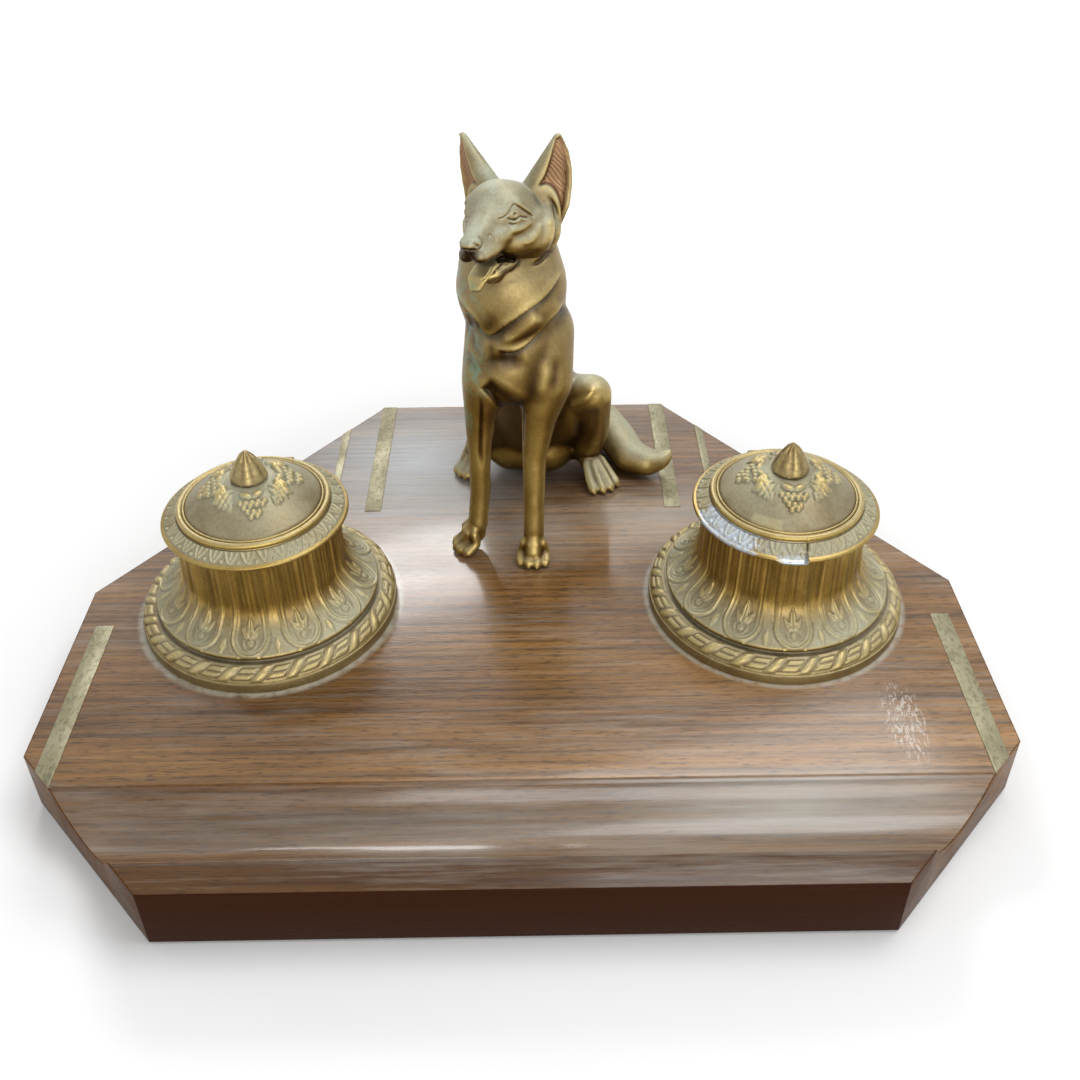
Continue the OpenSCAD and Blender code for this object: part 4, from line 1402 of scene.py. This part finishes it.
CHEST_UNDER = ((479, 388.2), (485, 383), (491.1, 379.4), (497, 382), (503, 386.5), (514, 393.5),
               (524, 399), (525.5, 404), (520, 412), (505, 414), (495, 407), (486, 397))
MOUTH_GAP = ((494, 258.5), (500, 255.5), (508, 254.8), (514, 256.2), (516.5, 259.5), (514, 262.8),
             (506, 262.2), (498, 263.6))
LOWER_LIP = ((496, 268.5), (504, 266), (512, 265), (517, 262))
NOSE_PLANE = ((459, 244), (466, 247.5), (475, 250), (481, 253), (478.5, 258), (470, 261),
              (461, 259), (457, 251))
CHEST_LINE = ((488.5, 340), (489.5, 350), (490, 362), (490.5, 374))
CURL_ONE = ((464.5, 311), (468, 324), (471, 336), (476.5, 348), (483, 360))
CURL_TWO = ((473, 319), (477, 331), (480, 341), (485, 352))
CURL_THREE = ((462, 347), (468.5, 358), (474, 367), (481, 376))
ARM_BACK = ((556, 352), (557, 368), (555, 384), (549, 398))
ARM_LINE = ((546, 356), (545, 374), (541, 390), (535, 404))
LEG_CREASE_L = ((480.5, 394), (481.5, 410), (481, 430), (480.5, 452), (483, 470))
LEG_CREASE_R = ((524, 408), (522.5, 425), (522, 448))
THIGH_EDGE = ((567, 405), (573, 403.5), (580, 401), (587, 396.5), (596, 386))
THIGH_FRONT = ((569, 409.5), (578, 408), (588, 405), (597, 404), (604, 410), (604.5, 425),
               (600, 440), (592, 452), (580, 452), (572, 438), (569, 422))


def normals_of(piece):
    normals = np.zeros(len(piece.data.vertices) * 3)
    piece.data.vertices.foreach_get("normal", normals)
    return normals.reshape(-1, 3)


def in_head(spots):
    """Places in the head's own frame, in mm."""
    return (spots / MM - np.array(DOG_AT) - np.array(HEAD_AT)) @ np.array(HEAD_TURN)


def work_the_face(spots, normals):
    """Tool work on both halves of the head, and where the hollows of the ears are."""
    turn = np.array(HEAD_TURN)
    local = in_head(spots)
    over = np.ones_like(local)
    over[:, 0] = np.where(local[:, 0] < 0, -1, 1)
    local = local * over
    x, y, z = local.T
    p = seen_at((local @ turn.T + np.array(DOG_AT) + np.array(HEAD_AT)) * MM)
    facing = rise(-(((normals @ turn) * over) @ (np.array(VIEW_AHEAD) @ turn)), 0.05, 0.3)
    work = groove(p, EYE_TOP_IN, 0.8, 0.45, 0.04) + groove(p, EYE_TOP_OUT, 0.8, 0.5, 0.04)
    work += ridge(p, [(u, v - 2.6) for u, v in EYE_TOP_OUT], 1.5, 0.25)
    work += groove(p, EYE_LOW, 0.75, 0.42) + ridge(p, [(u, v + 2.2) for u, v in EYE_LOW], 1.2, 0.25)
    work += groove(p, EYE_BAG, 0.7, 0.28)
    work += groove(p, CRESCENT, 4.0, 0.5, 0.35)
    work += ridge(p, CHEEK_RIDGE, 3.0, 0.5) + ridge(p, CHEEK_BONE, 3.4, 0.6)
    work += groove(p, CHEEK_EDGE, 2.2, 0.9, 0.15) + ridge(p, CHEEK_SWELL, 5.0, 0.8)
    work += ridge(p, BROW, 3.6, 0.2) + groove(p, NOSE_SIDE, 0.8, 0.22)
    pupil = np.hypot(p[:, 0] - 514.8, p[:, 1] - 214.4)
    work += 0.25 * (soft_line(pupil - 2.7, 0.9) - soft_line(pupil, 1.2))
    nose = groove(p, NOSTRIL, 1.0, 0.4) + groove(p, NOSTRIL_HOLE, 1.4, 0.5, 0.01)
    work += (nose + groove(p, NOSE_LIP, 0.9, 0.25)) * rise(-y, 18, 20)
    on_face = facing * rise(z, -21, -17) * (1 - rise(z, 7, 9.5)) * (1 - rise(y, 6, 9))
    on_face *= 1 - rise(y + 0.9 * x, 19, 23)
    work *= on_face * (1 - rise(-y, 3, 6) * rise(-z, 9.5, 11.5))
    # Parting of the upper lip on the middle line
    work -= 0.15 * soft_line(x, 0.5) * (y < -21) * (z < -2.0) * (z > -9)
    # Hollows of the ears, with fine hatching across them
    hollow = sunken(p, EAR_HOLLOW, 3.6) * facing * rise(z, -10, -7) * rise(x, 7, 9) * (y > 3)
    hatch = np.sin((p[:, 0] * 0.75 - p[:, 1] * 0.65) * 1.7 + 1.2 * np.sin(p[:, 1] * 0.25))
    work -= (2.4 - 1.4 * rise(z, 6, 20)) * hollow - 0.1 * hatch * rise(hollow, 0.7, 1.0)
    return work, hollow


def work_the_coat(spots, normals):
    """Folds of the ruff, the chest, legs and thigh, where the camera sees them."""
    p = seen_at(spots)
    seen = rise(-(normals @ np.array(VIEW_AHEAD)), 0.02, 0.3)
    x, y, z = spots.T / MM - np.array(DOG_AT)[:, None]
    hx, hy, hz = in_head(spots).T
    in_mouth = (abs(hx) < 6.5) * (hy < -7) * (hz < -11) * (hz > -19.5) * (y < 6)
    work = groove(p, TONGUE_LINE, 0.8, 0.4) * in_mouth
    ruff = rise(z, 70, 78) * (1 - rise(z, 116, 123)) * (1 - rise(y, 24, 32)) * (1 - in_mouth)
    below_jaw = 1 - soft_line(np.hypot(p[:, 0] - 497, p[:, 1] - 268), 15)
    work += flap(p, FOLD_ONE, 9.0, 1.3, 2.4, 0.16) * ruff * below_jaw
    work += (flap(p, FOLD_TWO, 7.0, 1.0, 2.4, 0.12) + ridge(p, FOLD_TWO_TOP, 5.5, 1.2)) * ruff
    chest = rise(z, 52, 56) * (1 - rise(z, 108, 112)) * (1 - rise(y, 18, 24))
    lines = groove(p, CHEST_HOLLOW, 9.0, 1.7, 0.4) + groove(p, CHEST_LINE, 5.0, 0.7, 0.4)
    lines += groove(p, CURL_ONE, 4.5, 0.8, 0.4) + groove(p, CURL_TWO, 3.2, 0.5, 0.4)
    lines += groove(p, CURL_THREE, 5.0, 0.9, 0.4) + ridge(p, CHEST_EDGE, 3.5, 0.2, 0.1)
    work += lines * chest
    work += (groove(p, ARM_BACK, 6.0, 0.8, 0.4) + ridge(p, ARM_LINE, 7.0, 0.8, 0.4)) * (z > 50)
    legs = rise(z, 8, 12) * (1 - rise(z, 70, 76)) * (y < 16)
    work += (groove(p, LEG_CREASE_L, 1.9, 0.9, 0.25) + groove(p, LEG_CREASE_R, 1.9, 0.6, 0.25)) * legs
    thigh = (y > 26) * (x > 10) * (z > 12)
    work += (ridge(p, THIGH_EDGE, 3.5, 0.9, 0.2) - 0.9 * sunken(p, THIGH_FRONT, 11.0)) * thigh
    return work * seen


def work_the_clay(piece):
    spots = corners_of(piece)
    normals = normals_of(piece)
    face, hollow = work_the_face(spots, normals)
    height = face + work_the_coat(spots, normals)
    # Below its lower edge the chest steps back, away from the viewer, and so does the mouth's corner
    _, y, z = spots.T / MM - np.array(DOG_AT)[:, None]
    p = seen_at(spots)
    back = 2.6 * sunken(p, CHEST_UNDER, 7.0) * (1 - rise(y, 20, 26)) * rise(z, 45, 52)
    back += 2.6 * sunken(p, MOUTH_GAP, 1.6) * (z > 116) * (y < 10)
    set_corners(piece, spots + (normals * height[:, None] + np.outer(back, VIEW_AHEAD)) * MM)
    # Returned with the step back taken off, so the gilding darkens it: painted shade under the chest's edge
    # and in the mouth's corner
    return height - back, hollow


def rub_of(piece, rounds=26):
    """How far each point stands out of its smoothed surroundings, in mm."""
    spots = corners_of(piece)
    edges = np.zeros(len(piece.data.edges) * 2, int)
    piece.data.edges.foreach_get("vertices", edges)
    a, b = edges.reshape(-1, 2).T
    count = np.bincount(a, minlength=len(spots)) + np.bincount(b, minlength=len(spots))
    eased = spots.copy()
    for _ in range(rounds):
        total = np.stack([np.bincount(a, eased[b, i], len(spots)) + np.bincount(b, eased[a, i], len(spots))
                          for i in range(3)], 1)
        eased = total / np.maximum(count, 1)[:, None]
    return ((spots - eased) * normals_of(piece)).sum(1) / MM


def wear_and_shade_of_dog(piece, height, hollow):
    spots = corners_of(piece)
    normals = normals_of(piece)
    nz = normals[:, 2]
    x, y, z = spots.T / MM - np.array(DOG_AT)[:, None]
    hx, hy, hz = in_head(spots).T
    down = rise(-(normals @ np.array(HEAD_TURN))[:, 2], 0.0, 0.5)
    relief = 0.45 + np.clip(rub_of(piece) * 0.6, -0.22, 0.24) + np.clip(height, -2.4, 0.8) * 0.03
    # Painted shade on surfaces that face down; the ear hollows are a little darker
    relief -= 0.17 * rise(-nz, -0.1, 0.7) + 0.1 * hollow
    # Painted shade under the tip of the muzzle, where it faces down; its front, where it faces ahead, is
    # darker too
    relief -= 0.2 * rise(-hy, 20, 23) * down * (hz > -11)
    ahead = rise(-(normals @ np.array(HEAD_TURN))[:, 1], 0.25, 0.6)
    relief -= 0.2 * rise(-hy, 19, 22) * ahead * rise(-hz, -0.6, 1.2) * (hz > -10)
    # A painted highlight on the tongue, where it faces up
    tongue = (abs(hx) < 6) * rise(-hy, 15, 18) * rise(-hz, 10.5, 11.5) * (z > 100) * (y < 8)
    relief += 0.2 * tongue * rise(nz, -0.2, 0.3)
    p = seen_at(spots)
    front = (z > 112) * (y < 12)
    # Painted shade in the gap of the mouth, and a darker plane of the nose
    relief -= (0.45 * sunken(p, MOUTH_GAP, 1.2) + 0.26 * sunken(p, NOSE_PLANE, 2.0) * (hy < -19)) * front
    relief += 0.22 * ridge(p, LOWER_LIP, 1.8, 1.0) * front
    # Painted shade inside the mouth, except where it faces up
    mouth = (abs(hx) < 7) * rise(-hy, 2, 4) * rise(-hz, 8.5, 9.5) * (1 - rise(-hz, 14.5, 16)) * (z > 100)
    relief -= 0.34 * mouth * (1 - rise(-hy, 15, 18)) * (1 - rise(nz, 0.4, 0.8))
    # A painted highlight on one cheek
    relief += 0.1 * rise(hx, 3, 6) * (z > 118) * (y < 12) * rise(-hz, 0, 2) * (hz > -9)
    # Painted shade on the front of the chest
    relief -= 0.08 * rise(z, 40, 52) * (1 - rise(z, 108, 118)) * (1 - rise(y, 20, 30))
    head = rise(z, 122, 134)
    dust = np.clip((nz + 0.3) * 0.9, 0, 0.95) * (0.4 + 0.6 * head) * (1 - hollow) * rise(z, 60, 90)
    dust *= 1 - 0.8 * sunken(p, MOUTH_GAP, 1.2) * front
    dust = np.maximum(dust, 0.3 * np.clip((nz - 0.05) * 1.25, 0, 0.95))
    low_back = rise(y, 30, 40) * (1 - rise(z, 60, 85))
    dust = np.maximum(dust, 0.8 * np.clip((nz - 0.2) * 1.5, 0, 1) * low_back)
    dust = np.maximum(dust, 0.45 * np.clip((nz + 0.1) * 1.2, 0, 1) * (x > 30) * (z < 30))
    dust = np.maximum(dust, 0.12 * tongue)
    left = 1 - rise(x, -16, -8)
    chest = rise(z, 66, 76) * (1 - rise(z, 118, 126)) * (1 - rise(y, 14, 22))
    leg = 0.8 * soft_line(z - 60, 9) * (x < -17)
    green = np.clip(left * chest + leg, 0, 1) * (0.4 + 0.6 * (nz > -0.3))
    note_wear_and_shade(piece, np.clip(relief, 0.06, 1), dust, green=green, copper=hollow)


DOG_TRIANGLES = 195000


def make_dog():
    piece = build_clay()
    report(piece)
    # A finer surface on the face, for its thin lines
    x, y, z = in_head(corners_of(piece)).T
    face = (y < 6) & (z > -20) & (z < 9) & (y < 8 - 0.6 * abs(x))
    face |= (abs(x) > 8) & (z > -8) & (y > 3) & (y < 12)
    pick(piece)
    piece.data.polygons.foreach_set("select", np.zeros(len(piece.data.polygons), bool))
    piece.data.edges.foreach_set("select", np.zeros(len(piece.data.edges), bool))
    piece.data.vertices.foreach_set("select", face)
    bpy.ops.object.mode_set(mode="EDIT")
    bpy.ops.mesh.select_mode(type="VERT")
    bpy.ops.mesh.subdivide(number_cuts=1, smoothness=1.0)
    bpy.ops.object.mode_set(mode="OBJECT")
    height, hollow = work_the_clay(piece)
    wear_and_shade_of_dog(piece, height, hollow)
    thin = piece.modifiers.new("thin", "DECIMATE")
    thin.ratio = min(1.0, DOG_TRIANGLES / triangles_of(piece))
    apply_all(piece)
    report(piece)
    return smooth(piece, 80)


dog = make_dog()
dress(dog, gilding)
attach(dog, "stand")
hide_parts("dog")

# %% [markdown]
# Some parts keep their plain solids: glass liners in the wells, hinge pins, and the bolts and
# washers under the baize. Their shapes are right already, so they only get finishes.

# %% Glass, steel and washers
def make_glass():
    material, tree, shader = new_material("liner_glass")
    seeds = noise(tree, (160, 160, 160), 2, 0.5)
    shader.inputs["Base Color"].default_value = (0.86, 0.93, 0.9, 1)
    shader.inputs["Transmission Weight"].default_value = 1.0
    shader.inputs["IOR"].default_value = 1.5
    fill(tree, shader.inputs["Roughness"], ramp(tree, seeds, [(0.4, 0.02), (0.7, 0.08)]))
    fill(tree, shader.inputs["Normal"], bump(tree, seeds, 0.1, 0.0003))
    return material


def make_steel():
    material, tree, shader = new_material("dull_steel")
    cloud = noise(tree, (300, 300, 300), 4, 0.6)
    rub = noise(tree, (2500, 300, 2500), 2, 0.5)
    fill(tree, shader.inputs["Base Color"], ramp(tree, cloud, [
        (0.35, (0.16, 0.14, 0.12)), (0.65, (0.4, 0.39, 0.38))
    ]))
    shader.inputs["Metallic"].default_value = 0.95
    fill(tree, shader.inputs["Roughness"], ramp(tree, cloud, [(0.3, 0.5), (0.7, 0.3)]))
    fill(tree, shader.inputs["Normal"], bump(tree, rub, 0.2, 0.0001))
    return material


liner_glass = make_glass()
dull_steel = make_steel()
for node_name, node_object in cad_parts.items():
    if node_name.endswith("liner"):
        dress(node_object, liner_glass)
    elif node_name.endswith("pin") or node_name.endswith("bolt"):
        dress(node_object, dull_steel)
    elif node_name.endswith("washer"):
        dress(node_object, tarnished)

# %% [markdown]
# The studio is plain: a pale floor that runs far behind the stand, one broad soft lamp high up on
# the right, a second one behind the stand that the varnish and the metal mirror, and a low one in
# front. The sky is white for the camera and for glass, duller in mirrors, and weak as a light.

# %% Floor, lamps and sky
bpy.context.scene.view_settings.view_transform = "Standard"


def make_floor():
    clear_selection()
    bpy.ops.mesh.primitive_plane_add(size=6, location=(0, 0, -0.0002))
    floor = call_it("floor")
    material, tree, shader = new_material("pale_floor")
    paper = noise(tree, (3, 3, 3), 2, 0.5)
    fill(tree, shader.inputs["Base Color"], ramp(tree, paper, [
        (0.3, (0.72, 0.72, 0.72)), (0.7, (0.76, 0.76, 0.76))
    ]))
    shader.inputs["Roughness"].default_value = 0.9
    shader.inputs["Specular IOR Level"].default_value = 0.1
    # Far from the stand the floor glows a little, so that it runs out into white
    far = length_of(tree, place_on_piece(tree, (1, 1, 1)))
    shader.inputs["Emission Color"].default_value = (1, 1, 1, 1)
    fill(tree, shader.inputs["Emission Strength"], ramp(tree, far, [(0.16, 0.0), (0.95, 0.6)]))
    dress(floor, material)


def add_lamp(name, place, aim, size, power):
    data = bpy.data.lights.new(name, "AREA")
    data.shape = "RECTANGLE"
    data.size, data.size_y = size
    data.energy = power
    lamp = bpy.data.objects.new(name, data)
    bpy.context.scene.collection.objects.link(lamp)
    lamp.location = place
    lamp.rotation_euler = (Vector(aim) - Vector(place)).to_track_quat("-Z", "Y").to_euler()


def make_sky(strength):
    world = bpy.data.worlds.new("sky")
    bpy.context.scene.world = world
    world.use_nodes = True
    tree = world.node_tree
    back = next(n for n in tree.nodes if n.type == "BACKGROUND")
    back.inputs["Color"].default_value = (1, 1, 1, 1)
    path = add_node(tree, "ShaderNodeLightPath")
    mirrored = times(tree, path.outputs["Is Glossy Ray"], 0.7)
    seen = larger(tree, path.outputs["Is Camera Ray"], mirrored)
    seen = larger(tree, seen, path.outputs["Is Transmission Ray"])
    weak = times(tree, minus(tree, 1.0, seen), strength)
    fill(tree, back.inputs["Strength"], plus(tree, seen, weak))


make_floor()
make_sky(0.55)
add_lamp("key", (0.45, 0.1, 1.3), (0, 0, 0.03), (0.9, 0.7), 11)
add_lamp("back", (-0.25, 1.25, 0.95), (0, 0, 0.03), (0.7, 0.35), 9)
add_lamp("front", (0.2, -1.1, 0.45), (0, 0, 0.06), (0.9, 0.5), 7)
